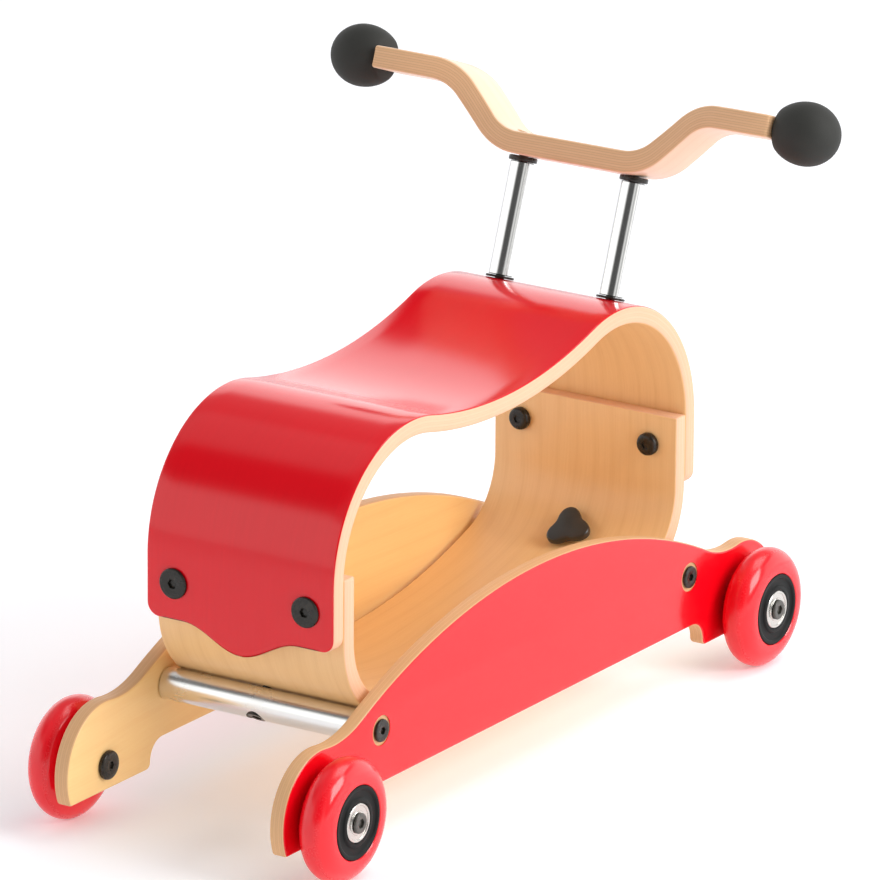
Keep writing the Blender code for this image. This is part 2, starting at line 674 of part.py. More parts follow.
def make_cradle(finishes):
    """Build the U-shaped cradle that closes the seat below."""
    outline = cradle_line(CRADLE_PLY) + list(reversed(cradle_line(0)))
    cradle = add_object("cradle", slab("cradle", outline, -BODY_HALF_WIDTH, BODY_HALF_WIDTH, EASED_EDGE),
                        finishes["natural_ply"])
    tools = []
    for along in (1, -1):
        for side in (1, -1):
            tools.append(seat_bolt_drill(along, side))
        tools.append(drill("clamp_hole", CHASSIS_BOLT["shank"] + CLEARANCE, 3 * CRADLE_PLY,
                           clamp_axis_point(along, CRADLE_CORNER_RADIUS + 2 * CRADLE_PLY),
                           bolt_direction(along)))
    carve(cradle, tools)


def make_seat_fasteners(finishes):
    """Build the four bolts that join saddle and cradle, and their domed nuts."""
    stack = SADDLE_PLY + CRADLE_PLY + 3 * CLEARANCE
    bolt = bolt_mesh("seat_bolt", SEAT_BOLT, stack + BOLT_IN_NUT)
    nut = cap_nut_mesh("seat_nut", SEAT_NUT, SEAT_BOLT["shank"] + CLEARANCE)
    for along, end in ((1, "front"), (-1, "rear")):
        for side, hand in ((1, "right"), (-1, "left")):
            inward = Vector((0, -along, 0))
            head = seat_bolt_point(along, side, CLEARANCE)
            set_at(add_object(f"seat_bolt_{end}_{hand}", bolt, finishes["black_steel"]), head, inward)
            set_at(add_object(f"seat_nut_{end}_{hand}", nut, finishes["black_steel"]),
                   head + inward * stack, inward)


# Handlebar


def handlebar_line():
    """Return the right half of the handlebar's mid line as (x, z, slope) stations."""
    radius, angle = HANDLEBAR_BEND_RADIUS, HANDLEBAR_BEND_ANGLE
    straight = (HANDLEBAR_RISE - 2 * radius * (1 - math.cos(angle))) / math.sin(angle)
    end = HANDLEBAR_SPAN / 2
    lift = HANDLEBAR_PLY / 2
    stations = [(0.0, lift, 0.0)]
    steps = math.ceil(angle / ARC_STEP)
    for i in range(steps + 1):
        slope = angle * i / steps
        stations.append((HANDLEBAR_FLAT_HALF + radius * math.sin(slope),
                         lift + radius * (1 - math.cos(slope)), slope))
    last = stations[-1]
    top_start = (last[0] + straight * math.cos(angle), last[1] + straight * math.sin(angle))
    for i in range(steps + 1):
        slope = angle * (1 - i / steps)
        stations.append((top_start[0] + radius * (math.sin(angle) - math.sin(slope)),
                         top_start[1] + radius * (math.cos(slope) - math.cos(angle)), slope))
    stations.append((end, stations[-1][1], 0.0))
    return stations


def handlebar_edges(x):
    """Return where the handlebar's rear and front edges lie at a distance from its middle."""
    share = min(1, max(0, (x - HANDLEBAR_SWEEP_START) / HANDLEBAR_SWEEP_LENGTH))
    middle = -HANDLEBAR_SWEEP * share * share * (3 - 2 * share)
    return middle - HANDLEBAR_DEPTH / 2, middle + HANDLEBAR_DEPTH / 2


def steering_frame():
    """Return the placement of the handlebar: its underside's middle, level with the posts."""
    base = (post_foot(1) + post_foot(-1)) / 2 + post_way() * POST_REACH
    return Matrix.Translation(base) @ Matrix.Rotation(-POST_LEAN, 4, "X")


def make_handlebar(finishes):
    """Build the bent plywood handlebar with its two sunk screw holes."""
    half = handlebar_line()
    stations = [(-x, z, -slope) for x, z, slope in reversed(half[1:])] + half
    builder = bmesh.new()
    sections = []
    for x, z, slope in stations:
        rear, front = handlebar_edges(abs(x))
        up = Vector((-math.sin(slope), 0, math.cos(slope))) * HANDLEBAR_PLY / 2
        middle = Vector((x, 0, z))
        corners = [middle + up + Vector((0, rear, 0)), middle + up + Vector((0, front, 0)),
                   middle - up + Vector((0, front, 0)), middle - up + Vector((0, rear, 0))]
        sections.append([builder.verts.new(corner) for corner in corners])
    for this, following in zip(sections, sections[1:]):
        for i in range(4):
            builder.faces.new((this[i - 1], this[i], following[i], following[i - 1]))
    builder.faces.new(sections[0])
    builder.faces.new(sections[-1])
    builder.verts.index_update()
    long_edges = [edge for edge in builder.edges
                  if edge.verts[0].index // 4 != edge.verts[1].index // 4]
    bmesh.ops.bevel(builder, geom=long_edges, offset=EASED_EDGE, segments=1, profile=0.5,
                    affect="EDGES", material=-1)
    bar = add_object("handlebar", mesh_from("handlebar", builder), finishes["bar_ply"])
    bar.matrix_world = steering_frame()
    carve(bar, [tongue(side, 0.0, HANDLEBAR_PLY) for side in (1, -1)], "UNION")
    tools = []
    for side in (1, -1):
        axis = post_foot(side) + post_way() * POST_REACH
        tools.append(drill("bar_hole", POST_SCREW["shank"] + CLEARANCE, 3 * HANDLEBAR_PLY,
                           axis - post_way() * HANDLEBAR_PLY, post_way()))
        tools.append(drill("head_seat", POST_SCREW["head"] + CLEARANCE, HANDLEBAR_PLY,
                           axis + post_way() * (HANDLEBAR_PLY - POST_SCREW_SINK), post_way()))
    carve(bar, tools)


def tongue(side, fit, root):
    """Return a handlebar tongue as a tool, grown by a fit and rooted behind the bar's end."""
    deep, tall = TONGUE_DEPTH / 2 + fit, TONGUE_THICKNESS / 2 + fit
    outline = [(-deep, -tall), (deep, -tall), (deep, tall), (-deep, tall)]
    ends = sorted((-side * root, side * (TONGUE_LENGTH + 2 * fit)))
    tool = cutter("tongue", slab("tongue", outline, ends[0], ends[1]))
    middle = Vector((side * HANDLEBAR_SPAN / 2, -HANDLEBAR_SWEEP, HANDLEBAR_PLY / 2 + HANDLEBAR_RISE))
    tool.matrix_world = steering_frame() @ Matrix.Translation(middle)
    return tool


def grip_mesh():
    """Make a ball grip turned about local Z, with its open end at local zero."""
    start = math.acos(GRIP_NECK_RADIUS / GRIP_RADIUS)
    near = GRIP_NECK_REACH / math.sin(start)
    far = GRIP_LENGTH - GRIP_NECK_REACH
    rings = 9
    profile = [(0, 0), (GRIP_NECK_RADIUS, 0)]
    for i in range(1, rings):
        a = -start + (math.pi / 2 + start) * i / rings
        reach = near if a < 0 else far
        profile.append((GRIP_RADIUS * math.cos(a), GRIP_NECK_REACH + reach * math.sin(a)))
    profile.append((0, GRIP_LENGTH))
    return turned("grip", profile, WHEEL_FACETS)


def make_grips(finishes):
    """Build the two ball grips, each with a socket for the handlebar's end."""
    frame = steering_frame()
    height = HANDLEBAR_PLY / 2 + HANDLEBAR_RISE
    for side, hand in ((1, "right"), (-1, "left")):
        mouth = Vector((side * (HANDLEBAR_SPAN / 2 + CLEARANCE), -HANDLEBAR_SWEEP, height))
        grip = add_object(f"grip_{hand}", grip_mesh(), finishes["black_rubber"])
        set_at(grip, frame @ mouth, Vector((side, 0, 0)))
        carve(grip, [tongue(side, CLEARANCE, HANDLEBAR_PLY)])


def make_posts(finishes):
    """Build the two posts with their washers and screws."""
    way = post_way()
    bore = POST_SCREW["shank"] + CLEARANCE
    rod_start = 2 * CLEARANCE + FOOT_WASHER_THICKNESS
    rod_end = POST_REACH - 2 * CLEARANCE - TOP_WASHER_THICKNESS
    length = rod_end - rod_start
    rod = [(0, length - POST_SCREW_GRIP), (bore, length - POST_SCREW_GRIP), (bore, length),
           (POST_RADIUS, length), (POST_RADIUS, 0), (bore, 0),
           (bore, POST_SCREW_GRIP), (0, POST_SCREW_GRIP)]
    post = turned("post", rod, ROD_FACETS)
    foot = washer_mesh("post_foot_washer", POST_WASHER_RADIUS, bore, FOOT_WASHER_THICKNESS)
    top = washer_mesh("post_top_washer", POST_WASHER_RADIUS, bore, TOP_WASHER_THICKNESS)
    drop = settle(FRONT_HUMP_RADIUS - SADDLE_PLY, POST_SCREW["head"])
    under = SADDLE_PLY + drop + CLEARANCE
    lower = bolt_mesh("post_foot_screw", POST_SCREW, under + rod_start + POST_SCREW_GRIP - CLEARANCE)
    over = HANDLEBAR_PLY - POST_SCREW_SINK + CLEARANCE
    upper_length = over + POST_REACH - rod_end + POST_SCREW_GRIP - CLEARANCE
    upper = bolt_mesh("handlebar_screw", POST_SCREW, upper_length)
    for side, hand in ((1, "right"), (-1, "left")):
        base = post_foot(side)
        set_at(add_object(f"post_{hand}", post, finishes["aluminium"]), base + way * rod_start, way)
        set_at(add_object(f"post_foot_washer_{hand}", foot, finishes["black_steel"]),
               base + way * CLEARANCE, way)
        set_at(add_object(f"post_top_washer_{hand}", top, finishes["black_steel"]),
               base + way * (rod_end + CLEARANCE), way)
        set_at(add_object(f"post_foot_screw_{hand}", lower, finishes["black_steel"]),
               base - way * under, way)
        set_at(add_object(f"handlebar_screw_{hand}", upper, finishes["black_steel"]),
               base + way * (POST_REACH + over), -way)


def main():
    """Build the whole toy."""
    clear_scene()
    finishes = make_finishes()
    make_boards(finishes)
    make_cross_bars(finishes)
    make_wheels(finishes)
    make_cradle(finishes)
    make_saddle(finishes)
    make_seat_fasteners(finishes)
    make_clamps(finishes)
    make_posts(finishes)
    make_handlebar(finishes)
    make_grips(finishes)
    bpy.context.view_layer.update()


main()
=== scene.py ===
"""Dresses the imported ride-on toy and sets it in a plain pale studio.

The toy is a bent plywood seat and handlebar on a wheeled chassis of two arched boards.
Lengths are in metres. +X is the rider's right, +Y the direction of travel and +Z up.
"""

from __future__ import annotations

import logging
import math
from collections.abc import Callable, Sequence
from dataclasses import dataclass, replace
from enum import Enum
from functools import cached_property

import bmesh
import bpy
import numpy as np
from mathutils import Matrix, Vector


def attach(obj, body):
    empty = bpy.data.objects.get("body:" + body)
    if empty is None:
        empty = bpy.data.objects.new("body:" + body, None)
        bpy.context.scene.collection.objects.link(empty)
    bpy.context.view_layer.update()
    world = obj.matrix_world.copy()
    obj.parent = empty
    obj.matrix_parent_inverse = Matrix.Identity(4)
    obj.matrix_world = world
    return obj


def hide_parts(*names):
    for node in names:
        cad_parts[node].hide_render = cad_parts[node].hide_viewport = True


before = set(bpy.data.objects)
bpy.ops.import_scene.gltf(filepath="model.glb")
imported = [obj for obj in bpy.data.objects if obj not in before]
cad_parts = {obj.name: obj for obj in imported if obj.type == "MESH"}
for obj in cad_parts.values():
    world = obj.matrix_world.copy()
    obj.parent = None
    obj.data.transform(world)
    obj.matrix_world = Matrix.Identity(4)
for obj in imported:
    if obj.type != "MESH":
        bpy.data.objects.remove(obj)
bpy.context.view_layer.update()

LOG = logging.getLogger("ride_on_toy")
Pair = tuple[float, float]
Colour = tuple[int, int, int]
X_AXIS = Vector((1, 0, 0))
Y_AXIS = Vector((0, 1, 0))
Z_AXIS = Vector((0, 0, 1))
QUARTER = math.pi / 2
SAME = 1e-6  # nearer than this is the same place

FIT = 0.0003  # gap between neighbouring pieces
AXLE_REACH = 0.218
WHEEL_RADIUS = 0.035
BOARD_FACE = 0.0665  # the boards' inner faces
SCREW_RECESS = 0.0010  # depth of the bare rings round the cross bars' screws
BOLT_TIP = 0.0014  # how far a bolt runs on into its nut

SHARP = math.radians(32)  # edges that turn more than this are shaded sharp
CORNER = math.radians(50)  # edges that turn more than this are rounded
FACET = math.radians(8)  # turn between two facets of the solids' hollow curves
SHEET_EDGE = 0.0015  # rounding of the saddle's and the handlebar's edges
SKIN = 0.0004  # how deep a sheet's face finish reaches
RING = 1.16  # a socket's round rim, over half the width of its six sides


class Half(Enum):
    """One half of the toy, with its sign along an axis."""

    @property
    def label(self) -> str:
        """Return the half's word in the nodes' names."""
        return self.name.lower()


class End(Half):
    """The two ends of the toy, each with its sign along Y."""

    FRONT = 1
    REAR = -1


class Hand(Half):
    """The two sides of the toy, each with its sign along X."""

    RIGHT = 1
    LEFT = -1


CORNERS = [(end, hand, f"{end.label}_{hand.label}") for end in End for hand in Hand]


# Shader helpers


def linear(level: float) -> float:
    """Return the linear value of one sRGB channel given as 0 to 255."""
    share = level / 255
    return share / 12.92 if share <= 0.04045 else ((share + 0.055) / 1.055) ** 2.4


def paint(colour: Colour) -> tuple[float, float, float, float]:
    """Return a colour given as sRGB levels in the form that a colour socket takes."""
    red, green, blue = (linear(level) for level in colour)
    return red, green, blue, 1.0


class Wire:
    """One number flowing through a material's nodes, which sums and products extend."""

    def __init__(self, graph: Graph, socket: bpy.types.NodeSocket) -> None:
        """Keep the graph and the output socket that carries the number."""
        self.graph = graph
        self.socket = socket

    def _math(self, operation: str, first: Wire | float, second: Wire | float = 0.0) -> Wire:
        """Return the result of a Math node that takes two values or wires."""
        node = self.graph.node("ShaderNodeMath", {"operation": operation}, {0: first, 1: second})
        return Wire(self.graph, node.outputs[0])

    def __add__(self, other: Wire | float) -> Wire:
        """Return the sum."""
        return self._math("ADD", self, other)

    def __sub__(self, other: Wire | float) -> Wire:
        """Return the difference."""
        return self._math("SUBTRACT", self, other)

    def __rsub__(self, other: Wire | float) -> Wire:
        """Return the difference from a number on the left."""
        return self._math("SUBTRACT", other, self)

    def __mul__(self, other: Wire | float) -> Wire:
        """Return the product."""
        return self._math("MULTIPLY", self, other)

    def __truediv__(self, other: Wire | float) -> Wire:
        """Return the quotient."""
        return self._math("DIVIDE", self, other)

    def __pow__(self, other: Wire | float) -> Wire:
        """Return the power."""
        return self._math("POWER", self, other)

    def __abs__(self) -> Wire:
        """Return the size without its sign."""
        return self._math("ABSOLUTE", self)

    __radd__ = __add__
    __rmul__ = __mul__

    def fraction(self) -> Wire:
        """Return the part after the decimal point."""
        return self._math("FRACT", self)

    def whole(self) -> Wire:
        """Return the number rounded down."""
        return self._math("FLOOR", self)

    def ridge(self) -> Wire:
        """Return 0 at whole numbers, rising to 1 halfway between them."""
        return 1.0 - abs(self.fraction() * 2.0 - 1.0)

    def between(self, low: float, high: float) -> Wire:
        """Return 0 below low and 1 above high, with a smooth step between them."""
        node = self.graph.node("ShaderNodeMapRange", {"interpolation_type": "SMOOTHSTEP"},
                               {"Value": self, "From Min": low, "From Max": high})
        return Wire(self.graph, node.outputs[0])


class Graph:
    """The nodes of one material or of the surroundings."""

    def __init__(self, owner: bpy.types.Material | bpy.types.World, shader: str) -> None:
        """Start with a shader node.

        Args:
            owner: The material, or the surroundings.
            shader: The name of its shader node.
        """
        self.owner = owner
        owner.use_nodes = True
        self.tree = owner.node_tree
        self.shader = self.tree.nodes[shader]

    def node(self, kind: str, settings: dict[str, object],
             sockets: dict[str | int, object]) -> bpy.types.Node:
        """Add a node.

        Args:
            kind: The node's type.
            settings: Its settings, which are set first.
            sockets: The values, wires or sockets of its inputs.

        Returns:
            The node.
        """
        made = self.tree.nodes.new(kind)
        for key, setting in settings.items():
            setattr(made, key, setting)
        for key, source in sockets.items():
            self.feed(made.inputs[key], source)
        return made

    def feed(self, socket: bpy.types.NodeSocket, source: object) -> None:
        """Link or set an input.

        Args:
            socket: The input.
            source: A wire or a socket to link, or a plain value.
        """
        if isinstance(source, Wire):
            source = source.socket
        if isinstance(source, bpy.types.NodeSocket):
            self.tree.links.new(source, socket)
        else:
            socket.default_value = source

    def attribute(self, name: str) -> Wire:
        """Return a piece's own number, such as a ply's depth."""
        node = self.node("ShaderNodeAttribute", {"attribute_name": name}, {})
        return Wire(self, node.outputs["Fac"])

    def place(self) -> bpy.types.NodeSocket:
        """Return the object's own coordinates."""
        return self.node("ShaderNodeTexCoord", {}, {}).outputs["Object"]

    def axes(self) -> list[Wire]:
        """Return the three numbers of the object's own coordinates."""
        parts = self.node("ShaderNodeSeparateXYZ", {}, {0: self.place()})
        return [Wire(self, output) for output in parts.outputs]

    def vector(self, x: Wire, y: Wire, z: Wire | float) -> bpy.types.NodeSocket:
        """Return a vector made of three numbers."""
        return self.node("ShaderNodeCombineXYZ", {}, {0: x, 1: y, 2: z}).outputs[0]

    def noise(self, vector: bpy.types.NodeSocket, scale: float, detail: float = 3.0,
              roughness: float = 0.5) -> Wire:
        """Make smooth noise.

        Args:
            vector: The place that it is read at.
            scale: How many features fit in a metre.
            detail: How many finer layers it has.
            roughness: How strong the finer layers are.

        Returns:
            The noise, from 0 to 1.
        """
        node = self.node("ShaderNodeTexNoise", {}, {
            "Vector": vector, "Scale": scale, "Detail": detail, "Roughness": roughness})
        return Wire(self, node.outputs[0])

    def mix(self, share: Wire, first: Colour | bpy.types.NodeSocket,
            second: Colour | bpy.types.NodeSocket) -> bpy.types.NodeSocket:
        """Mix two colours.

        Args:
            share: How much of the second one is in the mixture.
            first: The first colour, as sRGB levels or a socket.
            second: The second colour.

        Returns:
            The mixture.
        """
        first, second = (paint(ink) if isinstance(ink, tuple) else ink for ink in (first, second))
        node = self.node("ShaderNodeMix", {"data_type": "RGBA"}, {0: share, 6: first, 7: second})
        return node.outputs[2]

    def bump(self, height: Wire, distance: float) -> bpy.types.NodeSocket:
        """Return a normal roughened by a height from 0 to 1, which is a distance deep."""
        return self.node("ShaderNodeBump", {}, {"Height": height, "Distance": distance}).outputs[0]

    def dress(self, **sockets: object) -> None:
        """Feed the shader's sockets, named with underscores for spaces."""
        for name, source in sockets.items():
            self.feed(self.shader.inputs[name.replace("_", " ")], source)


# Finishes


@dataclass(frozen=True)
class Finish:
    """A finish that becomes one shared material."""

    name: str
    colour: Colour
    roughness: float = 0.4

    @cached_property
    def graph(self) -> Graph:
        """Return the nodes of the finish's material."""
        return Graph(bpy.data.materials.new(self.name), "Principled BSDF")

    @cached_property
    def material(self) -> bpy.types.Material:
        """Return the finish's material, which is made once."""
        self.build()
        return self.graph.owner

    def build(self) -> None:
        """Build the nodes."""
        raise NotImplementedError


@dataclass(frozen=True)
class Lacquer(Finish):
    """Coloured lacquer on a veneer whose grain shows faintly through."""

    deep: Colour = (200, 3, 18)
    grain_depth: float = 0.00001

    def build(self) -> None:
        """Build the nodes."""
        graph = self.graph
        along, across = graph.attribute("along"), graph.attribute("across")
        fibres = graph.noise(graph.vector(along * 22.0, across * 620.0, 0.0), 1.0, 4.0, 0.6)
        cloud = graph.noise(graph.place(), 9.0)
        peel = graph.noise(graph.place(), 420.0, 2.0)
        dust = graph.noise(graph.place(), 2600.0, 1.0).between(0.74, 0.8)
        tone = fibres * 0.35 + cloud * 0.45
        colour = graph.mix(tone, self.colour, self.deep)
        normal = graph.bump(fibres * 0.7 + peel * 0.5, self.grain_depth)
        rough = self.roughness + cloud * 0.05 + dust * 0.15
        graph.dress(Base_Color=colour, Roughness=rough, Normal=normal)


@dataclass(frozen=True)
class Veneer(Finish):
    """Pale clear-lacquered veneer with its grain along the sheet."""

    dark: Colour = (196, 138, 84)
    ring: float = 0.011
    seed: float = 0.0

    def build(self) -> None:
        """Build the nodes."""
        graph = self.graph
        along, across = graph.attribute("along"), graph.attribute("across")
        sway = graph.noise(graph.vector(along * 2.4, across * 7.0, self.seed), 1.0, 2.0)
        bent = across + (sway - 0.5) * 0.055
        rings = (bent / self.ring).ridge() ** 3.0
        fibres = graph.noise(graph.vector(along * 26.0, bent * 900.0, self.seed), 1.0, 4.0, 0.62)
        pores = graph.noise(graph.vector(along * 130.0, bent * 3600.0, self.seed), 1.0, 2.0)
        cloud = graph.noise(graph.vector(along * 5.0, across * 14.0, self.seed + 3.0), 1.0, 2.0)
        pitted = pores.between(0.62, 0.75)
        tone = fibres * 0.42 + rings * 0.13 + pitted * 0.16 + cloud * 0.22 - 0.08
        colour = graph.mix(tone, self.colour, self.dark)
        normal = graph.bump(1.0 - (fibres * 0.5 + pitted), 0.00004)
        rough = self.roughness + fibres * 0.12
        graph.dress(Base_Color=colour, Roughness=rough, Normal=normal, Coat_Weight=0.25,
                    Coat_Roughness=0.22)


@dataclass(frozen=True)
class PlyEdge(Finish):
    """The edge of a sheet, where the plies alternate between long grain and end grain."""

    end_grain: Colour = (206, 150, 94)
    glue: Colour = (150, 98, 56)
    sheet: float = 0.010
    plies: int = 7
    line: float = 0.30

    def build(self) -> None:
        """Build the nodes."""
        graph = self.graph
        along, depth = graph.attribute("along"), graph.attribute("depth")
        waver = graph.noise(graph.vector(along * 30.0, depth * 60.0, 0.0), 1.0, 2.0) - 0.5
        layer = depth * (self.plies / self.sheet) + waver * 0.16
        end_ply = (layer * 0.5).fraction().between(0.49, 0.51)
        seam = 1.0 - layer.ridge().between(0.0, 0.20)
        speck = graph.noise(graph.vector(along * 2200.0, depth * 2200.0, layer.whole()), 1.0, 2.0)
        streak = graph.noise(graph.vector(along * 60.0, depth * 3000.0, layer.whole()), 1.0)
        patch = graph.noise(graph.vector(along * 40.0, layer.whole() * 7.0, 0.0), 1.0, 2.0)
        light = graph.mix(streak * 0.35 + patch * 0.2 + 0.15, self.colour, self.end_grain)
        dark = graph.mix(speck * 0.5 + patch * 0.25 + 0.15, self.colour, self.end_grain)
        body = graph.mix(end_ply, light, dark)
        colour = graph.mix(seam * self.line, body, self.glue)
        normal = graph.bump(1.0 - seam * 0.6 - speck * end_ply * 0.3, 0.00008)
        graph.dress(Base_Color=colour, Roughness=self.roughness + end_ply * 0.1, Normal=normal)


@dataclass(frozen=True)
class BareMetal(Finish):
    """Bright metal with fine marks along or round the piece."""

    stretch: tuple[float, float, float] = (1.0, 1.0, 1.0)
    marks: float = 600.0
    depth: float = 0.000004
    smudge: Colour = (150, 148, 144)

    def build(self) -> None:
        """Build the nodes."""
        graph = self.graph
        place = graph.place()
        stretched = graph.node("ShaderNodeVectorMath", {"operation": "MULTIPLY"},
                               {0: place, 1: self.stretch})
        lines = graph.noise(stretched.outputs[0], self.marks, 3.0, 0.6)
        dull = graph.noise(place, 45.0)
        colour = graph.mix(dull * 0.18, self.colour, self.smudge)
        rough = self.roughness + lines * 0.05 + dull.between(0.5, 0.8) * 0.07
        graph.dress(Base_Color=colour, Metallic=1.0, Roughness=rough,
                    Normal=graph.bump(lines, self.depth))


@dataclass(frozen=True)
class Blackened(Finish):
    """Blackened steel, rubbed a little lighter in places."""

    worn: Colour = (62, 62, 60)
    shine: float = 0.75

    def build(self) -> None:
        """Build the nodes."""
        graph = self.graph
        place = graph.place()
        cloud = graph.noise(place, 220.0, 4.0, 0.6)
        grit = graph.noise(place, 2400.0, 2.0)
        colour = graph.mix(cloud.between(0.5, 0.75) * 0.5, self.colour, self.worn)
        graph.dress(Base_Color=colour, Metallic=0.1, Specular_IOR_Level=self.shine,
                    Roughness=self.roughness + cloud * 0.15, Normal=graph.bump(grit, 0.00001))


@dataclass(frozen=True)
class Moulded(Finish):
    """Moulded plastic or rubber with a fine even texture."""

    pale: Colour = (60, 60, 58)
    grit: float = 1500.0
    depth: float = 0.00003
    coat: float = 0.0
    shine: float = 0.5

    def build(self) -> None:
        """Build the nodes."""
        graph = self.graph
        place = graph.place()
        cloud = graph.noise(place, 60.0)
        grit = graph.noise(place, self.grit, 3.0, 0.6)
        colour = graph.mix(cloud * 0.4 + grit * 0.2, self.colour, self.pale)
        rough = self.roughness + grit * 0.12
        graph.dress(Base_Color=colour, Roughness=rough, Coat_Weight=self.coat, Coat_Roughness=0.12,
                    Normal=graph.bump(grit, self.depth), Specular_IOR_Level=self.shine)


@dataclass(frozen=True)
class Tread(Finish):
    """Smooth cast polyurethane with faint scuffs where it rolls."""

    deep: Colour = (180, 12, 24)
    radius: float = WHEEL_RADIUS
    axle_reach: float = AXLE_REACH

    def build(self) -> None:
        """Build the nodes."""
        graph = self.graph
        place = graph.place()
        _, y, z = graph.axes()
        out, up = abs(y) - self.axle_reach, z - self.radius
        away = (out * out + up * up) ** 0.5
        tread = away.between(self.radius - 0.004, self.radius - 0.0005)
        cloud = graph.noise(place, 55.0)
        scuff = graph.noise(place, 900.0, 4.0, 0.7).between(0.52, 0.7)
        colour = graph.mix(cloud * 0.5 + tread * 0.15, self.colour, self.deep)
        rough = self.roughness + cloud * 0.04 + tread * (0.12 + scuff * 0.2)
        graph.dress(Base_Color=colour, Roughness=rough, Normal=graph.bump(scuff * tread, 0.00002),
                    Coat_Weight=0.2, Coat_Roughness=0.06)


@dataclass(frozen=True)
class PaleFloor(Finish):
    """The studio's seamless pale floor, lit faintly from below."""

    shade: Colour = (240, 240, 243)
    glow: float = 0.22

    def build(self) -> None:
        """Build the nodes."""
        graph = self.graph
        cloud = graph.noise(graph.place(), 0.8, 2.0)
        speck = graph.noise(graph.place(), 260.0)
        colour = graph.mix(cloud * 0.5 + speck * 0.2, self.colour, self.shade)
        rough = self.roughness + speck * 0.05
        graph.dress(Base_Color=colour, Roughness=rough, Specular_IOR_Level=0.1,
                    Emission_Color=paint(self.colour), Emission_Strength=self.glow)


SEAT_RED = Lacquer("seat_red", (240, 8, 28), 0.12)
BOARD_RED = Lacquer("board_red", (238, 8, 26), 0.10, deep=(222, 4, 20))
SEAT_VENEER = Veneer("seat_veneer", (250, 208, 150), 0.40, dark=(220, 168, 110))
# The boards' veneer is set paler than the seat's: painted light on the boards' inner faces.
LIT_BOARD_VENEER = Veneer("lit_board_veneer", (255, 218, 150), 0.40, dark=(240, 184, 116), ring=0.014,
                      seed=5.0)
BAR_VENEER = Veneer("bar_veneer", (248, 212, 181), 0.32, dark=(224, 176, 138), ring=0.009, seed=9.0)
SEAT_EDGE = PlyEdge("seat_edge", (240, 197, 165), 0.5, end_grain=(224, 168, 130),
                    glue=(176, 124, 80))
BOARD_EDGE = PlyEdge("board_edge", (236, 190, 140), 0.5, end_grain=(204, 152, 104),
                     glue=(146, 98, 62), sheet=0.0095, line=0.4)
BAR_EDGE = PlyEdge("bar_edge", (238, 194, 150), 0.5, end_grain=(208, 158, 112),
                   glue=(128, 86, 54), sheet=0.013, plies=9, line=0.5)
BAR_METAL = BareMetal("bar_metal", (236, 236, 234), 0.22, stretch=(0.05, 1.0, 1.0), marks=900.0)
POST_METAL = BareMetal("post_metal", (232, 232, 230), 0.10, stretch=(1.0, 0.3, 0.3), marks=900.0)
BEARING_METAL = BareMetal("bearing_metal", (214, 212, 206), 0.24, marks=1400.0)
BLACK_STEEL = Blackened("blackened_steel", (36, 33, 28), 0.20, worn=(66, 60, 50), shine=0.4)
AXLE_STEEL = Blackened("axle_steel", (68, 66, 60), 0.26, worn=(104, 102, 96))
GRIP_RUBBER = Moulded("grip_rubber", (32, 32, 28), 0.66, pale=(46, 46, 42), depth=0.00005)
HUB_PLASTIC = Moulded("hub_plastic", (14, 15, 15), 0.40, pale=(34, 35, 34), depth=0.00001,
                      shine=0.15)
KNOB_PLASTIC = Moulded("knob_plastic", (26, 27, 26), 0.30, coat=0.3)
TYRE_RED = Tread("tyre_red", (248, 18, 34), 0.14, deep=(222, 6, 24))
FLOOR = PaleFloor("pale_floor", (246, 247, 250), 0.7)


# Shape helpers


def angle_to(centre: Pair, point: Pair) -> float:
    """Return the angle of the line from a centre to a point."""
    return math.atan2(point[1] - centre[1], point[0] - centre[0])


def circles_meet(first: Pair, first_reach: float, second: Pair, second_reach: float) -> Pair:
    """Find where two circles cross, on the left of the way from first to second.

    Args:
        first: The first circle's centre.
        first_reach: Its radius.
        second: The second circle's centre.
        second_reach: Its radius.

    Returns:
        The crossing.
    """
    along = Vector(second) - Vector(first)
    gap = along.length
    near = (first_reach ** 2 - second_reach ** 2 + gap ** 2) / (2 * gap)
    off = math.sqrt(max(0.0, first_reach ** 2 - near ** 2))
    unit = along / gap
    point = Vector(first) + unit * near + Vector((-unit.y, unit.x)) * off
    return point.x, point.y


def upright(pair: Pair, side: float = 1.0) -> Vector:
    """Return a point of the side view in space, mirrored for side -1."""
    return Vector((0, side * pair[0], pair[1]))


def facing(point: Vector, direction: Vector) -> Matrix:
    """Return the placement that puts local zero at a point and local Z along a direction."""
    return Matrix.Translation(point) @ direction.to_track_quat("Z", "Y").to_matrix().to_4x4()


def settle(radius: float, reach: float) -> float:
    """Return how far a hollow curve rises within a reach, the solids' facets included."""
    return radius - math.sqrt(radius ** 2 - reach ** 2) + radius * (1 - math.cos(FACET / 2))


def linked(name: str, data: bpy.types.ID) -> bpy.types.Object:
    """Show a mesh, a light or a camera in the scene.

    Args:
        name: The new object's name.
        data: What the object shows.

    Returns:
        The object.
    """
    item = bpy.data.objects.new(name, data)
    bpy.context.scene.collection.objects.link(item)
    return item


def poured(name: str, bm: bmesh.types.BMesh) -> bpy.types.Mesh:
    """Finish a mesh that was in the making.

    Args:
        name: The finished mesh's name.
        bm: The mesh in the making, which is used up.

    Returns:
        The finished mesh.
    """
    mesh = bpy.data.meshes.new(name)
    bm.to_mesh(mesh)
    bm.free()
    return mesh


def scaled(vert: bmesh.types.BMVert, reach: float) -> None:
    """Move a point away from local Z by a factor."""
    vert.co.xy = vert.co.xy * reach


def turn_of(vert: bmesh.types.BMVert) -> float:
    """Return a point's angle round local Z."""
    return math.atan2(vert.co.y, vert.co.x)


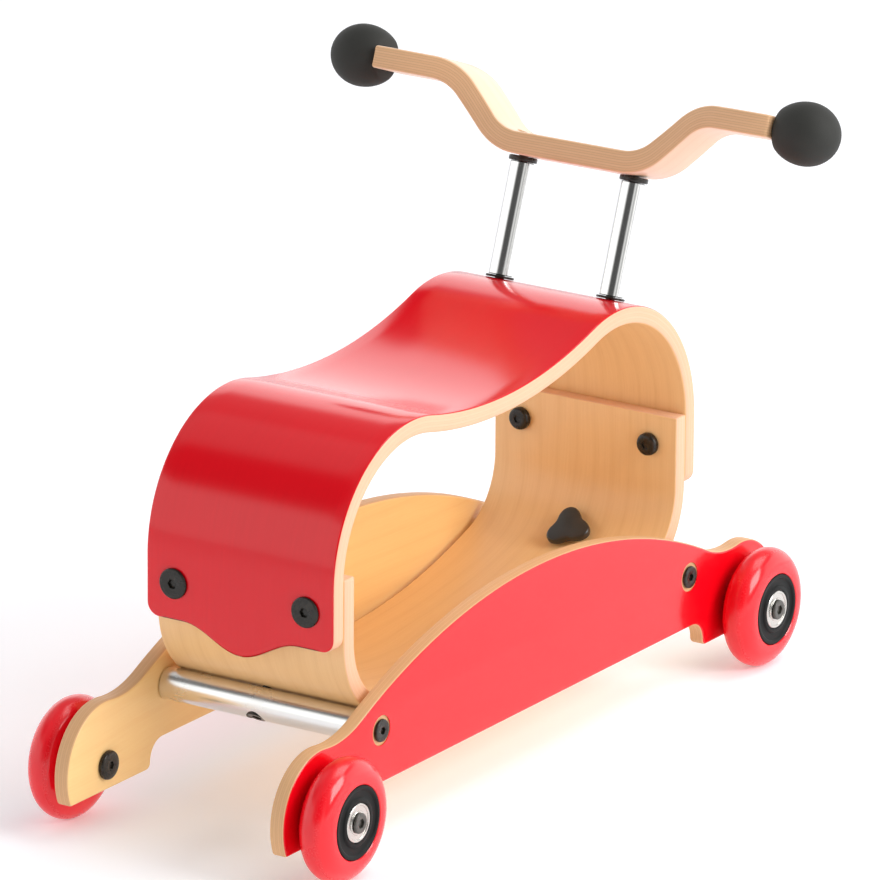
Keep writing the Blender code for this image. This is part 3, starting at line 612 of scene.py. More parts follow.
def drawn_out(bm: bmesh.types.BMesh, cap: Sequence[bmesh.types.BMFace],
              step: Vector) -> list[bmesh.types.BMFace]:
    """Draw faces out into a solid.

    Args:
        bm: The mesh in the making.
        cap: The faces.
        step: How far they are moved.

    Returns:
        The faces at the far end.
    """
    grown = bmesh.ops.extrude_face_region(bm, geom=cap)["geom"]
    tips = [part for part in grown if isinstance(part, bmesh.types.BMVert)]
    bmesh.ops.translate(bm, verts=tips, vec=step)
    return [part for part in grown if isinstance(part, bmesh.types.BMFace)]


def rounded(bm: bmesh.types.BMesh, edges: Sequence[bmesh.types.BMEdge], width: float,
            segments: int) -> None:
    """Round edges by a width, with some facets."""
    bmesh.ops.bevel(bm, geom=edges, offset=width, segments=segments, profile=0.5, affect="EDGES",
                    material=-1, clamp_overlap=True)


class Pen:
    """Draws a line, or a ply's side view, by pushing and turning its last stroke."""

    def __init__(self, start: Sequence[Vector], way: Vector, axis: Vector) -> None:
        """Start the drawing.

        Args:
            start: One point for a line, or a ply's two faces for a strip.
            way: The direction of the first stroke.
            axis: The direction that the drawing's plane faces.
        """
        self.bm = bmesh.new()
        self.way = way.normalized()
        self.axis = axis
        ends = [self.bm.verts.new(point) for point in start]
        edges = [self.bm.edges.new(ends)] if len(start) > 1 else []
        self.tip: list[bmesh.types.BMVert | bmesh.types.BMEdge] = [*ends, *edges]
        self.middle = sum(start, Vector()) / len(start)
        self.stations = [self.middle.copy()]

    def push(self, length: float, steps: int = 1) -> Pen:
        """Draw a straight stroke.

        Args:
            length: Its length.
            steps: How many pieces it has.

        Returns:
            The pen.
        """
        step = self.way * (length / steps)
        done = bmesh.ops.spin(self.bm, geom=self.tip, cent=self.middle, axis=self.axis, dvec=step,
                              angle=0.0, steps=steps, use_merge=False)
        self.tip = done["geom_last"]
        for _ in range(steps):
            self.middle = self.middle + step
            self.stations.append(self.middle.copy())
        return self

    def turn(self, centre: Vector, angle: float, steps: int) -> Pen:
        """Draw an arc.

        Args:
            centre: The arc's centre.
            angle: How far it turns about the axis.
            steps: How many pieces it has.

        Returns:
            The pen.
        """
        done = bmesh.ops.spin(self.bm, geom=self.tip, cent=centre, axis=self.axis, angle=angle,
                              steps=steps, use_merge=False)
        self.tip = done["geom_last"]
        turn = Matrix.Rotation(angle / steps, 3, self.axis)
        for _ in range(steps):
            self.middle = centre + turn @ (self.middle - centre)
            self.way = turn @ self.way
            self.stations.append(self.middle.copy())
        return self

    def bend(self, radius: float, angle: float, steps: int) -> Pen:
        """Draw an arc that carries on from the last stroke, with its radius at the middle line."""
        side = self.axis.cross(self.way) * math.copysign(1.0, angle)
        return self.turn(self.middle + side * radius, angle, steps)


class Shape:
    """A mesh in the making, shaped by the modelling operators."""

    def __init__(self, bm: bmesh.types.BMesh) -> None:
        """Keep the mesh in the making."""
        self.bm = bm

    @classmethod
    def turned(cls, profile: Sequence[Pair], steps: int = 64) -> Shape:
        """Turn a profile round local Z.

        Args:
            profile: Points of radius and height. A ring's profile is closed.
            steps: How many facets go round.

        Returns:
            The turned shape.
        """
        bm = bmesh.new()
        points = [bm.verts.new((radius, 0, height)) for radius, height in profile]
        ring = profile[0][0] > 0
        pairs = zip(points, points[1:] + points[:1]) if ring else zip(points, points[1:])
        edges = [bm.edges.new(pair) for pair in pairs]
        bmesh.ops.spin(bm, geom=points + edges, cent=(0, 0, 0), axis=(0, 0, 1), angle=2 * math.pi,
                       steps=steps, use_merge=True)
        bmesh.ops.remove_doubles(bm, verts=bm.verts, dist=SAME)
        return cls(bm)

    @classmethod
    def slab(cls, pen: Pen, columns: Sequence[float]) -> Shape:
        """Give a drawing its width.

        Args:
            pen: A strip, or a line that ends near its start.
            columns: The places along the pen's axis at which the slab has edges.

        Returns:
            The slab.
        """
        bm = pen.bm
        if not bm.faces:
            bmesh.ops.remove_doubles(bm, verts=bm.verts, dist=SAME)
            bmesh.ops.edgeloop_fill(bm, edges=bm.edges)
        bmesh.ops.translate(bm, verts=bm.verts, vec=pen.axis * columns[0])
        cap = list(bm.faces)
        for low, high in zip(columns, columns[1:]):
            cap = drawn_out(bm, cap, pen.axis * (high - low))
        return cls(bm)

    def outward(self) -> Shape:
        """Turn every face outwards."""
        bmesh.ops.recalc_face_normals(self.bm, faces=self.bm.faces)
        return self

    def round_edges(self, width: float, segments: int) -> Shape:
        """Round the edges whose faces stand more than the corner angle apart.

        Args:
            width: How wide the rounding is.
            segments: How many facets it has.

        Returns:
            The shape.
        """
        self.outward()
        edges = [edge for edge in self.bm.edges
                 if len(edge.link_faces) == 2 and edge.calc_face_angle(0.0) > CORNER]
        rounded(self.bm, edges, width, segments)
        return self

    def place(self, matrix: Matrix) -> Shape:
        """Move the shape."""
        bmesh.ops.transform(self.bm, matrix=matrix, verts=self.bm.verts)
        return self

    def piece(self, node: str, slot: str, *finishes: Finish, at: Matrix | None = None,
              body: str = "toy", chart: Chart | None = None) -> None:
        """Hand the shape over as the finished piece that stands for one solid.

        Args:
            node: The solid's name.
            slot: Not used.
            finishes: Its finishes, or a sheet's near face, far face and edge.
            at: Where the shape is placed.
            body: The body that carries it.
            chart: Lays the grain and the plies over it before it is placed.
        """
        self.outward()
        name = f"visual_{node}"
        mesh = poured(name, self.bm)
        for finish in finishes:
            mesh.materials.append(finish.material)
        if chart is not None:
            chart.write(mesh)
            chart.sort(mesh)
        if at is not None:
            mesh.transform(at)
        mesh.shade_smooth()
        mesh.set_sharp_from_angle(angle=SHARP)
        item = linked(name, mesh)
        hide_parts(node)
        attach(item, body)
        LOG.info("%s: %d faces on %s", name, len(mesh.polygons), body)


def carved(shape: Shape, tools: Sequence[Shape]) -> Shape:
    """Cut tools out of a shape.

    Args:
        shape: The shape to cut.
        tools: What is taken away, each a closed shape.

    Returns:
        The cut shape.
    """
    holders = [linked("carving", poured("carving", part.outward().bm)) for part in (shape, *tools)]
    block, *cutters = holders
    for tool in cutters:
        cut = block.modifiers.new("cut", "BOOLEAN")
        cut.object = tool
        cut.operation = "DIFFERENCE"
        cut.solver = "EXACT"
    bpy.context.view_layer.update()
    bm = bmesh.new()
    bm.from_object(block, bpy.context.evaluated_depsgraph_get())
    for holder in holders:
        bpy.data.objects.remove(holder, do_unlink=True)
    return Shape(bm)


@dataclass
class Chart:
    """Lays a sheet's grain over a mesh, as its length, its width and its depth."""

    stations: Sequence[Vector] | None
    axis: Vector
    sheet: float
    start: float = 0.0
    shear: Callable[[np.ndarray], np.ndarray] | None = None

    def measure(self, points: np.ndarray) -> tuple[np.ndarray, np.ndarray, np.ndarray]:
        """Find where points lie in the sheet.

        Args:
            points: The points, one in a row.

        Returns:
            Their lengths along, widths across and depths in the sheet.
        """
        if self.stations is None:
            return points[:, 1], points[:, 2], np.abs(points[:, 0]) - self.start
        axis = np.array(self.axis)
        line = np.array([tuple(station) for station in self.stations])
        across = points @ axis
        flat = points - np.outer(across, axis)
        line = line - np.outer(line @ axis, axis)
        steps = np.diff(line, axis=0)
        lengths = np.linalg.norm(steps, axis=1)
        walked = np.concatenate([[0.0], np.cumsum(lengths)])[:-1]
        best = np.full(len(flat), np.inf)
        along = np.zeros(len(flat))
        depth = np.zeros(len(flat))
        for base, step, length, done in zip(line[:-1], steps, lengths, walked):
            unit = step / length
            side = np.cross(axis, unit)
            offset = flat - base
            run = np.clip(offset @ unit, 0.0, length)
            miss = np.linalg.norm(offset - np.outer(run, unit), axis=1)
            closer = miss < best - 1e-9
            best[closer] = miss[closer]
            along[closer] = (done + run)[closer]
            depth[closer] = (offset @ side)[closer] + self.sheet / 2
        if self.shear is not None:
            across = across - self.shear(points)
        return along, across, depth

    def write(self, mesh: bpy.types.Mesh) -> None:
        """Write the measures to a mesh as numbers of its points.

        Args:
            mesh: The mesh.
        """
        points = np.zeros(len(mesh.vertices) * 3)
        mesh.vertices.foreach_get("co", points)
        for name, numbers in zip(("along", "across", "depth"), self.measure(points.reshape(-1, 3))):
            layer = mesh.attributes.new(name, "FLOAT", "POINT")
            layer.data.foreach_set("value", np.ascontiguousarray(numbers, dtype=np.float32))

    def sort(self, mesh: bpy.types.Mesh) -> None:
        """Give a mesh's faces their finish: 0 at no depth, 1 at full depth and 2 for the edge.

        Args:
            mesh: The mesh.
        """
        centres = np.zeros(len(mesh.polygons) * 3)
        mesh.polygons.foreach_get("center", centres)
        depth = self.measure(centres.reshape(-1, 3))[2]
        finish = np.where(depth < SKIN, 0, np.where(depth > self.sheet - SKIN, 1, 2))
        mesh.polygons.foreach_set("material_index", finish.astype(np.int32))


# Fasteners


def hexed(shape: Shape, ring: float, socket: float) -> Shape:
    """Draw a turned fastener's round socket into six sides.

    Args:
        shape: The fastener.
        ring: The round socket's radius.
        socket: Half the width of the six sides.

    Returns:
        The fastener.
    """
    for vert in shape.bm.verts:
        if abs(vert.co.xy.length - ring) < SAME:
            turn = turn_of(vert) % math.radians(60) - math.radians(30)
            scaled(vert, socket / math.cos(turn) / ring)
    return shape


@dataclass(frozen=True)
class Fastener:
    """A turned fastener, which seats at local zero and runs along local Z."""

    def shape(self) -> Shape:
        """Make the fastener."""
        raise NotImplementedError

    def fit(self, node: str, seat: Vector, way: Vector, finish: Finish = BLACK_STEEL) -> None:
        """Put one on its seat, running along a way, as the stand-in for a node's solid."""
        self.shape().piece(node, "black_steel", finish, at=facing(seat, way))


@dataclass(frozen=True)
class Bolt(Fastener):
    """A socket bolt, whose head stands behind its seat."""

    head: float
    height: float
    shank: float
    socket: float
    edge: float = 0.0008
    hole: float = 0.0016
    cone: float = 0.0004
    lead: Pair = (0.0002, 0.00015)
    tip: float = 0.0004
    rim: float = 0.0002
    length: float = 0.0

    def cut(self, length: float) -> Bolt:
        """Return the bolt with a shank of a length."""
        return replace(self, length=length)

    def shape(self) -> Shape:
        """Make the bolt with a rounded head and a six-sided socket.

        Returns:
            The bolt.
        """
        ring, top, edge = self.socket * RING, -self.height, self.edge
        crown = [(self.head - edge + edge * math.sin(a), top + edge - edge * math.cos(a))
                 for a in (math.radians(15 * i) for i in range(7))]
        profile = [(0, top + self.hole - self.cone), (ring, top + self.hole),
                   (ring, top + self.lead[1]), (ring + self.lead[0], top), *crown,
                   (self.head, -self.rim), (self.head - self.rim, 0), (self.shank, 0),
                   (self.shank, self.length - self.tip), (self.shank - self.tip, self.length),
                   (0, self.length)]
        return hexed(Shape.turned(profile, 48), ring, self.socket)


@dataclass(frozen=True)
class DomedNut(Fastener):
    """A domed nut with a socket."""

    radius: float
    height: float
    bore: float
    socket: float = 0.0022
    hole: float = 0.0010
    cone: float = 0.0002
    lead: Pair = (0.0004, 0.0001)
    thread: float = 0.0010
    rim: float = 0.0003
    shoulder: float = 0.55
    dome: float = 0.9

    def shape(self) -> Shape:
        """Make the nut with a soft shoulder and a six-sided socket.

        Returns:
            The nut.
        """
        ring, top, edge = self.socket * RING, self.height, self.height * self.shoulder
        wide = edge * self.dome
        dome = [(self.radius - wide + wide * math.cos(a), top - edge + edge * math.sin(a))
                for a in (math.radians(15 * i) for i in range(6))]
        profile = [(0, self.thread), (self.bore, self.thread), (self.bore, 0),
                   (self.radius - self.rim, 0), (self.radius, self.rim), *dome,
                   (ring + self.lead[0], top), (ring, top - self.lead[1]),
                   (ring, top - self.hole), (0, top - self.hole - self.cone)]
        return hexed(Shape.turned(profile, 48), ring, self.socket)


@dataclass(frozen=True)
class Washer(Fastener):
    """A plain washer."""

    radius: float
    bore: float
    thickness: float
    edge: float = 0.0007

    def shape(self) -> Shape:
        """Make the washer with rounded rims.

        Returns:
            The washer.
        """
        soft = min(self.edge, self.thickness / 3)
        profile = [(self.bore, 0), (self.radius - soft, 0), (self.radius - soft * 0.3, soft * 0.3),
                   (self.radius, soft), (self.radius, self.thickness - soft),
                   (self.radius - soft * 0.3, self.thickness - soft * 0.3),
                   (self.radius - soft, self.thickness), (self.bore, self.thickness)]
        return Shape.turned(profile, 48)


AXLE_BOLT = Bolt(0.0058, 0.0015, 0.0037, 0.0026, edge=0.0009)
AXLE_NUT = DomedNut(0.0083, 0.0028, 0.0040)
BAR_END_SCREW = Bolt(0.0065, 0.0018, 0.0027, 0.0021, edge=0.0009)
CLAMP_BOLT = Bolt(0.0058, 0.0050, 0.0029, 0.0026)
SEAT_BOLT = Bolt(0.0088, 0.0016, 0.0029, 0.0026, edge=0.0010)
SEAT_NUT = DomedNut(0.0067, 0.0040, 0.0032)
FOOT_SCREW = Bolt(0.0060, 0.0030, 0.0027, 0.0021)
FOOT_WASHER = Washer(0.0083, 0.0030, 0.0014)
TOP_SCREW = Bolt(0.0060, 0.0030, 0.0027, 0.0021, edge=0.0012)
TOP_WASHER = Washer(0.0083, 0.0030, 0.0030)


# Chassis


@dataclass(frozen=True)
class Wheels:
    """The four wheels with their bearings, bolts and nuts."""

    axle_reach: float = AXLE_REACH
    radius: float = WHEEL_RADIUS
    width: float = 0.0206
    inner_face: float = 0.0795
    hub_radius: float = 0.0208
    hub_bore: float = 0.0095
    crown: float = 0.0116
    bearing_radius: float = 0.011
    bearing_width: float = 0.007
    bearing_bore: float = 0.004
    ring_radius: float = 0.0062
    side_gap: float = 0.0035
    dish: tuple[Pair, ...] = ((0.0132, 0.0), (0.0136, 0.0002), (0.0142, 0.0010), (0.0150, 0.0012),
                              (0.0172, 0.0012), (0.0180, 0.0010), (0.0187, 0.0002), (0.0191, 0.0))
    shield: tuple[Pair, ...] = ((0.0098, 0.0), (0.0096, 0.0002), (0.0095, 0.0005),
                                (0.0069, 0.0005), (0.0068, 0.0002), (0.0066, 0.0))
    board_face: float = BOARD_FACE

    def build(self) -> None:
        """Build the wheels of both ends and both sides."""
        middle_face = self.inner_face + self.width / 2
        outer_face = self.inner_face + self.width
        washer = self.side_gap - FIT
        sleeve = self.width - 2 * self.bearing_width - FIT
        seat = outer_face + FIT
        for end, hand, tag in CORNERS:
            body = f"wheel_{tag}"
            out = X_AXIS * hand.value
            axle = Vector((0, end.value * self.axle_reach, self.radius))
            middle = facing(axle + out * middle_face, out)
            self.tyre().piece(f"tyre_{tag}", "red_tyre", TYRE_RED, at=middle, body=body)
            self.hub().piece(f"hub_{tag}", "black_plastic", HUB_PLASTIC, at=middle, body=body)
            for side, face, way, *bosses in (("inner", self.inner_face, -out, washer, sleeve),
                                             ("outer", outer_face, out, 0.0, 0.0)):
                self.bearing(*bosses).piece(f"bearing_{side}_{tag}", "bearing_steel", BEARING_METAL,
                                            at=facing(axle + out * face, way), body=body)
            bolt = AXLE_BOLT.cut(seat - self.board_face + FIT + BOLT_TIP)
            bolt.fit(f"axle_bolt_{tag}", axle + out * seat, -out, AXLE_STEEL)
            AXLE_NUT.fit(f"axle_nut_{tag}", axle + out * (self.board_face - FIT), -out)

    def tyre(self) -> Shape:
        """Make the tyre with an elliptical crown and rounded inner lips.

        Returns:
            The tyre, with its middle at local zero.
        """
        half = self.width / 2
        bore = self.hub_radius + FIT
        centre = self.radius - self.crown
        crown = [(centre + self.crown * math.cos(a), half * math.sin(a))
                 for a in (math.radians(90 - 5 * i) for i in range(37))]
        lip = 0.0005
        profile = [(bore, half - lip), (bore + lip, half), *crown, (bore + lip, -half),
                   (bore, lip - half)]
        return Shape.turned(profile, 96)

    def hub(self) -> Shape:
        """Make the hub with a soft dish in its outer face.

        Returns:
            The hub, with its middle at local zero.
        """
        half = self.width / 2
        seat, outer, mouth, soft = self.bearing_radius + FIT, self.hub_radius, 0.0003, 0.0004
        floor = half - self.bearing_width - FIT
        dish = [(reach, half - sink) for reach, sink in self.dish]
        profile = [(self.hub_bore, -floor), (self.hub_bore, floor), (seat, floor),
                   (seat, half - mouth), (seat + mouth, half), *dish, (outer - soft, half),
                   (outer, half - soft), (outer, -half), (seat, -half), (seat, -floor)]
        return Shape.turned(profile, 96)

    def bearing(self, boss_out: float, boss_in: float) -> Shape:
        """Make a bearing with two races and a sunk shield between them.

        Args:
            boss_out: How far the inner race's washer stands proud.
            boss_in: How long the sleeve behind the inner race is.

        Returns:
            The bearing, with its outer face at local zero.
        """
        bore, ring, outer = self.bearing_bore, self.ring_radius, self.bearing_radius
        back, wall = -boss_in - self.bearing_width, -self.bearing_width
        mouth, soft = 0.0002, 0.0003
        shield = [(reach, -sink) for reach, sink in self.shield]
        nose = [(ring, 0), (ring, boss_out)] if boss_out else [(ring, 0)]
        sleeve = [(ring, back), (ring, wall)] if boss_in else [(ring, back)]
        profile = [(bore, back), *sleeve, (outer, wall), (outer, -soft), (outer - soft, 0),
                   *shield, *nose, (bore + mouth, boss_out), (bore, boss_out - mouth)]
        return Shape.turned(profile, 64)


@dataclass(frozen=True)
class SeatCorners:
    """The cradle's bent corners, from which the cross bars and clamps are placed."""

    reach: float = 0.1237
    height: float = 0.116
    radius: float = 0.042
    ply: float = 0.010
    bar_radius: float = 0.0092
    angle: float = math.radians(36)
    clamp_offset: float = 0.0030
    head_reach: float = 0.0082

    def way(self, end: End) -> Vector:
        """Return the direction from a cross bar up through the cradle."""
        return Vector((0, -end.value * math.sin(self.angle), math.cos(self.angle)))

    def point(self, end: End, distance: float) -> Vector:
        """Return the point on a clamp's axis at a distance from the corner's centre."""
        corner = Vector((end.value * self.clamp_offset, end.value * self.reach, self.height))
        return corner - self.way(end) * distance

    def bar_reach(self) -> float:
        """Return how far a cross bar's middle is from its corner's centre."""
        return self.radius + self.ply + FIT + self.bar_radius

    def head_seat(self) -> float:
        """Return how far the seat of a clamp bolt's head is from its corner's centre."""
        return self.bar_reach() + self.head_reach - CLAMP_BOLT.height

    def bar(self, end: End) -> Vector:
        """Return the middle of a cross bar."""
        centre = self.point(end, self.bar_reach())
        return Vector((0, centre.y, centre.z))


@dataclass(frozen=True)
class SideBoards:
    """The two arched side boards."""

    inner_face: float = BOARD_FACE
    thickness: float = 0.0095
    axle_reach: float = AXLE_REACH
    axle_height: float = WHEEL_RADIUS
    crown: float = 0.1182
    arch: float = 0.415
    lobe: float = 0.037
    valley: float = 0.060
    belly: float = 0.0355
    toe: float = 0.020
    toe_side: float = 0.1755
    notch: float = 0.0115
    toe_corner: float = 0.004
    edge: float = 0.0016
    recess_radius: float = 0.0085
    recess_depth: float = SCREW_RECESS
    corners: SeatCorners = SeatCorners()

    def outline(self) -> Pen:
        """Draw a board's outline from its crown forwards and round to its crown again.

        Returns:
            The pen that drew it.
        """
        axle = (self.axle_reach, self.axle_height)
        arch = (0.0, self.crown - self.arch)
        valley = circles_meet(arch, self.arch + self.valley, axle, self.lobe + self.valley)
        drop = self.axle_height - self.toe
        arcs = [(arch, angle_to(arch, valley) - QUARTER, 24),
                (valley, angle_to(valley, axle) - angle_to(valley, arch), 14),
                (axle, -math.asin(drop / self.lobe) - angle_to(axle, valley), 44)]
        toe = self.belly - self.notch - self.toe - self.toe_corner
        pen = Pen([Vector((0, 0, self.crown))], Y_AXIS, X_AXIS)
        for centre, angle, steps in arcs:
            pen.turn(upright(centre), angle, steps)
        pen.way = -Y_AXIS
        pen.push(pen.middle.y - self.toe_side - self.toe_corner)
        pen.bend(self.toe_corner, -QUARTER, 6).push(toe).bend(self.notch, QUARTER, 10)
        pen.push(2 * (self.toe_side - self.notch))
        pen.bend(self.notch, QUARTER, 10).push(toe).bend(self.toe_corner, -QUARTER, 6)
        pen.push(self.axle_reach + math.sqrt(self.lobe ** 2 - drop ** 2)
                 - self.toe_side - self.toe_corner)
        for centre, angle, steps in reversed(arcs):
            pen.turn(upright(centre, -1), angle, steps)
        return pen

    def build(self) -> None:
        """Build both boards with their sunk screw seats."""
        depth, near, soft = self.recess_depth, self.recess_radius, 0.0004
        far = near + soft
        outer = self.inner_face + self.thickness
        for hand in Hand:
            out = X_AXIS * hand.value
            columns = sorted((hand.value * self.inner_face, hand.value * outer))
            board = Shape.slab(self.outline(), columns).round_edges(self.edge, 4)
            tools = []
            for end in End:
                seat = Shape.turned([(0, depth), (near, depth), (near, soft), (far, -soft),
                                     (far, -depth), (0, -depth)], 48)
                tools.append(seat.place(facing(self.corners.bar(end) + out * outer, -out)))
            chart = Chart(None, X_AXIS, self.thickness, start=self.inner_face)
            # The inner faces take the paler veneer, which carries painted light.
            carved(board, tools).piece(f"side_board_{hand.label}", "red_lacquer",
                                       LIT_BOARD_VENEER, BOARD_RED, BOARD_EDGE, chart=chart)


@dataclass(frozen=True)
class CrossBars:
    """The two polished cross bars with their end screws."""

    half: float = 0.0662
    outer_face: float = 0.076
    recess_depth: float = SCREW_RECESS
    grip: float = 0.012
    bore: float = 0.0061
    corners: SeatCorners = SeatCorners()

    def build(self) -> None:
        """Build both bars and their four screws."""
        radius, half, soft = self.corners.bar_radius, self.half, 0.0006
        span = 2 * radius
        profile = [(0, -half), (radius - soft, -half), (radius, soft - half), (radius, half - soft),
                   (radius - soft, half), (0, half)]
        seat = self.outer_face - self.recess_depth + FIT
        screw = BAR_END_SCREW.cut(seat - half + self.grip)
        for end in End:
            bar = Shape.turned(profile, 72).place(facing(self.corners.bar(end), X_AXIS))
            start = self.corners.point(end, self.corners.head_seat() + span)
            bore = Shape.turned([(0, span), (self.bore, span), (self.bore, 0), (0, 0)], 40)
            bore.place(facing(start, self.corners.way(end)))
            carved(bar, [bore]).piece(f"cross_bar_{end.label}", "aluminium", BAR_METAL)
            for hand in Hand:
                out = X_AXIS * hand.value
                screw.fit(f"cross_bar_screw_{end.label}_{hand.label}",
                          self.corners.bar(end) + out * seat, -out)


@dataclass(frozen=True)
class Clamps:
    """The two lobed knobs and the bolts that they draw tight."""

    radius: float = 0.0141
    lobes: int = 3
    lobe_depth: float = 0.0050
    rest_turn: float = math.radians(113)
    height: float = 0.0048
    edge: float = 0.0014
    boss_radius: float = 0.0065
    boss_height: float = 0.0025
    thread: float = 0.0050
    corners: SeatCorners = SeatCorners()

    def knob(self) -> Shape:
        """Make the knob: a lobed disc drawn up from a round boss.

        Returns:
            The knob, standing on local zero.
        """
        bm = bmesh.new()
        bmesh.ops.create_circle(bm, cap_ends=True, segments=90, radius=self.radius)
        for vert in bm.verts:
            sink = 0.5 - 0.5 * math.cos(self.lobes * (turn_of(vert) - self.rest_turn))
            scaled(vert, 1 - self.lobe_depth / self.radius * sink)
        drawn_out(bm, list(bm.faces), Z_AXIS * self.height)
        shape = Shape(bm).round_edges(self.edge, 5)
        shape.place(Matrix.Translation(Z_AXIS * self.boss_height))
        soft, top = 0.0003, self.boss_height + 0.0010
        boss = Shape.turned([(0, 0), (self.boss_radius - soft, 0), (self.boss_radius, soft),
                             (self.boss_radius, top), (0, top)], 48)
        spare = poured("boss", boss.bm)
        shape.bm.from_mesh(spare)
        bpy.data.meshes.remove(spare)
        return shape

    def build(self) -> None:
        """Build both clamps."""
        corners = self.corners
        seat = corners.radius - settle(corners.radius, self.boss_radius) - FIT
        start = corners.head_seat() + FIT
        bolt = CLAMP_BOLT.cut(start - seat + self.thread - FIT)
        for end in End:
            way = corners.way(end)
            bolt.fit(f"chassis_bolt_{end.label}", corners.point(end, start), way)
            self.knob().piece(f"chassis_knob_{end.label}", "black_plastic", KNOB_PLASTIC,
                              at=facing(corners.point(end, seat), way), body=f"knob_{end.label}")


# Seat


@dataclass(frozen=True)
class Seat:
    """The saddle and the cradle, with the bolts that join them."""

    half_length: float = 0.186
    half_width: float = 0.062
    ply: float = 0.010
    rear_top: float = 0.228
    rear_radius: float = 0.079
    front_top: float = 0.238
    front_radius: float = 0.083
    dip_radius: float = 0.305
    skirt_edge: float = 0.114
    skirt_band: float = 0.024
    skirt_side: float = 0.051
    tongue_drop: float = 0.013
    tongue_half: float = 0.038
    skirt_corner: float = 0.008
    rear_wall: float = 0.154
    front_wall: float = 0.1575
    cradle_edge: float = 0.0012
    floor_radius: float = 0.400
    bolt_spread: float = 0.0872
    rear_bolt: float = 0.1355
    front_bolt: float = 0.1395
    corners: SeatCorners = SeatCorners()

    def hump(self, end: End) -> Pair:
        """Find the centre of a hump.

        Args:
            end: The hump's end.

        Returns:
            Its place along Y and its height.
        """
        if end is End.FRONT:
            return self.half_length - self.front_radius, self.front_top - self.front_radius
        return self.rear_radius - self.half_length, self.rear_top - self.rear_radius

    def saddle(self) -> None:
        """Build the saddle."""
        rear, front = self.hump(End.REAR), self.hump(End.FRONT)
        dip = circles_meet(rear, self.rear_radius + self.dip_radius,
                           front, self.front_radius + self.dip_radius)
        foot = [Vector((0, -self.half_length, self.skirt_edge)),
                Vector((0, self.ply - self.half_length, self.skirt_edge))]
        pen = Pen(foot, Z_AXIS, X_AXIS)
        pen.push(self.skirt_band).push(rear[1] - self.skirt_edge - self.skirt_band)
        pen.turn(upright(rear), angle_to(rear, dip) - math.pi, 56)
        pen.turn(upright(dip), angle_to(dip, front) - angle_to(dip, rear), 40)
        pen.turn(upright(front), -angle_to(front, dip), 60)
        pen.way = -Z_AXIS
        pen.push(front[1] - self.skirt_edge - self.skirt_band).push(self.skirt_band)
        wave = [self.tongue_half * i / 14 for i in range(-14, 15)]
        columns = [-self.half_width, -self.skirt_side, *wave, self.skirt_side, self.half_width]
        shape = Shape.slab(pen, columns)
        for vert in shape.bm.verts:
            if abs(vert.co.z - self.skirt_edge) < SAME and abs(vert.co.x) < self.tongue_half:
                swing = 0.5 + 0.5 * math.cos(math.pi * vert.co.x / self.tongue_half)
                vert.co.z -= self.tongue_drop * swing
        ends = [edge for edge in shape.outward().bm.edges
                if all(abs(abs(vert.co.x) - self.half_width) < SAME
                       and abs(vert.co.z - self.skirt_edge) < SAME for vert in edge.verts)]
        rounded(shape.bm, ends, self.skirt_corner, 9)
        shape.round_edges(SHEET_EDGE, 4).piece(
            "saddle", "red_lacquer", SEAT_VENEER, SEAT_RED, SEAT_EDGE,
            chart=Chart(pen.stations, X_AXIS, self.ply))

    def cradle(self) -> None:
        """Build the cradle."""
        side, height = self.corners.reach, self.corners.height
        reach = self.floor_radius - self.corners.radius
        floor = (0.0, height + math.sqrt(reach ** 2 - side ** 2))
        rear, front = (-side, height), (side, height)
        wall = -side - self.corners.radius
        rim = [upright((wall - self.ply, self.rear_wall)), upright((wall, self.rear_wall))]
        pen = Pen(rim, -Z_AXIS, X_AXIS)
        pen.push(self.rear_wall - height, 2)
        pen.turn(upright(rear), math.pi + angle_to(floor, rear), 36)
        pen.turn(upright(floor), angle_to(floor, front) - angle_to(floor, rear), 40)
        pen.turn(upright(front), -angle_to(floor, front), 36)
        pen.way = Z_AXIS
        pen.push(self.front_wall - height, 2)
        shape = Shape.slab(pen, [-self.half_width, self.half_width])
        shape.round_edges(self.cradle_edge, 4).piece(
            "cradle", "natural_ply", SEAT_VENEER, SEAT_VENEER, SEAT_EDGE,
            chart=Chart(pen.stations, X_AXIS, self.ply))

    def build(self) -> None:
        """Build the saddle, the cradle and their bolts and nuts."""
        self.saddle()
        self.cradle()
        stack = 2 * self.ply + 3 * FIT
        for end, hand, tag in CORNERS:
            height = self.front_bolt if end is End.FRONT else self.rear_bolt
            inward = -Y_AXIS * end.value
            head = Vector((hand.value * self.bolt_spread / 2, end.value * (self.half_length + FIT),
                           height))
            SEAT_BOLT.cut(stack + BOLT_TIP).fit(f"seat_bolt_{tag}", head, inward)
            SEAT_NUT.fit(f"seat_nut_{tag}", head + inward * stack, inward)


# Steering


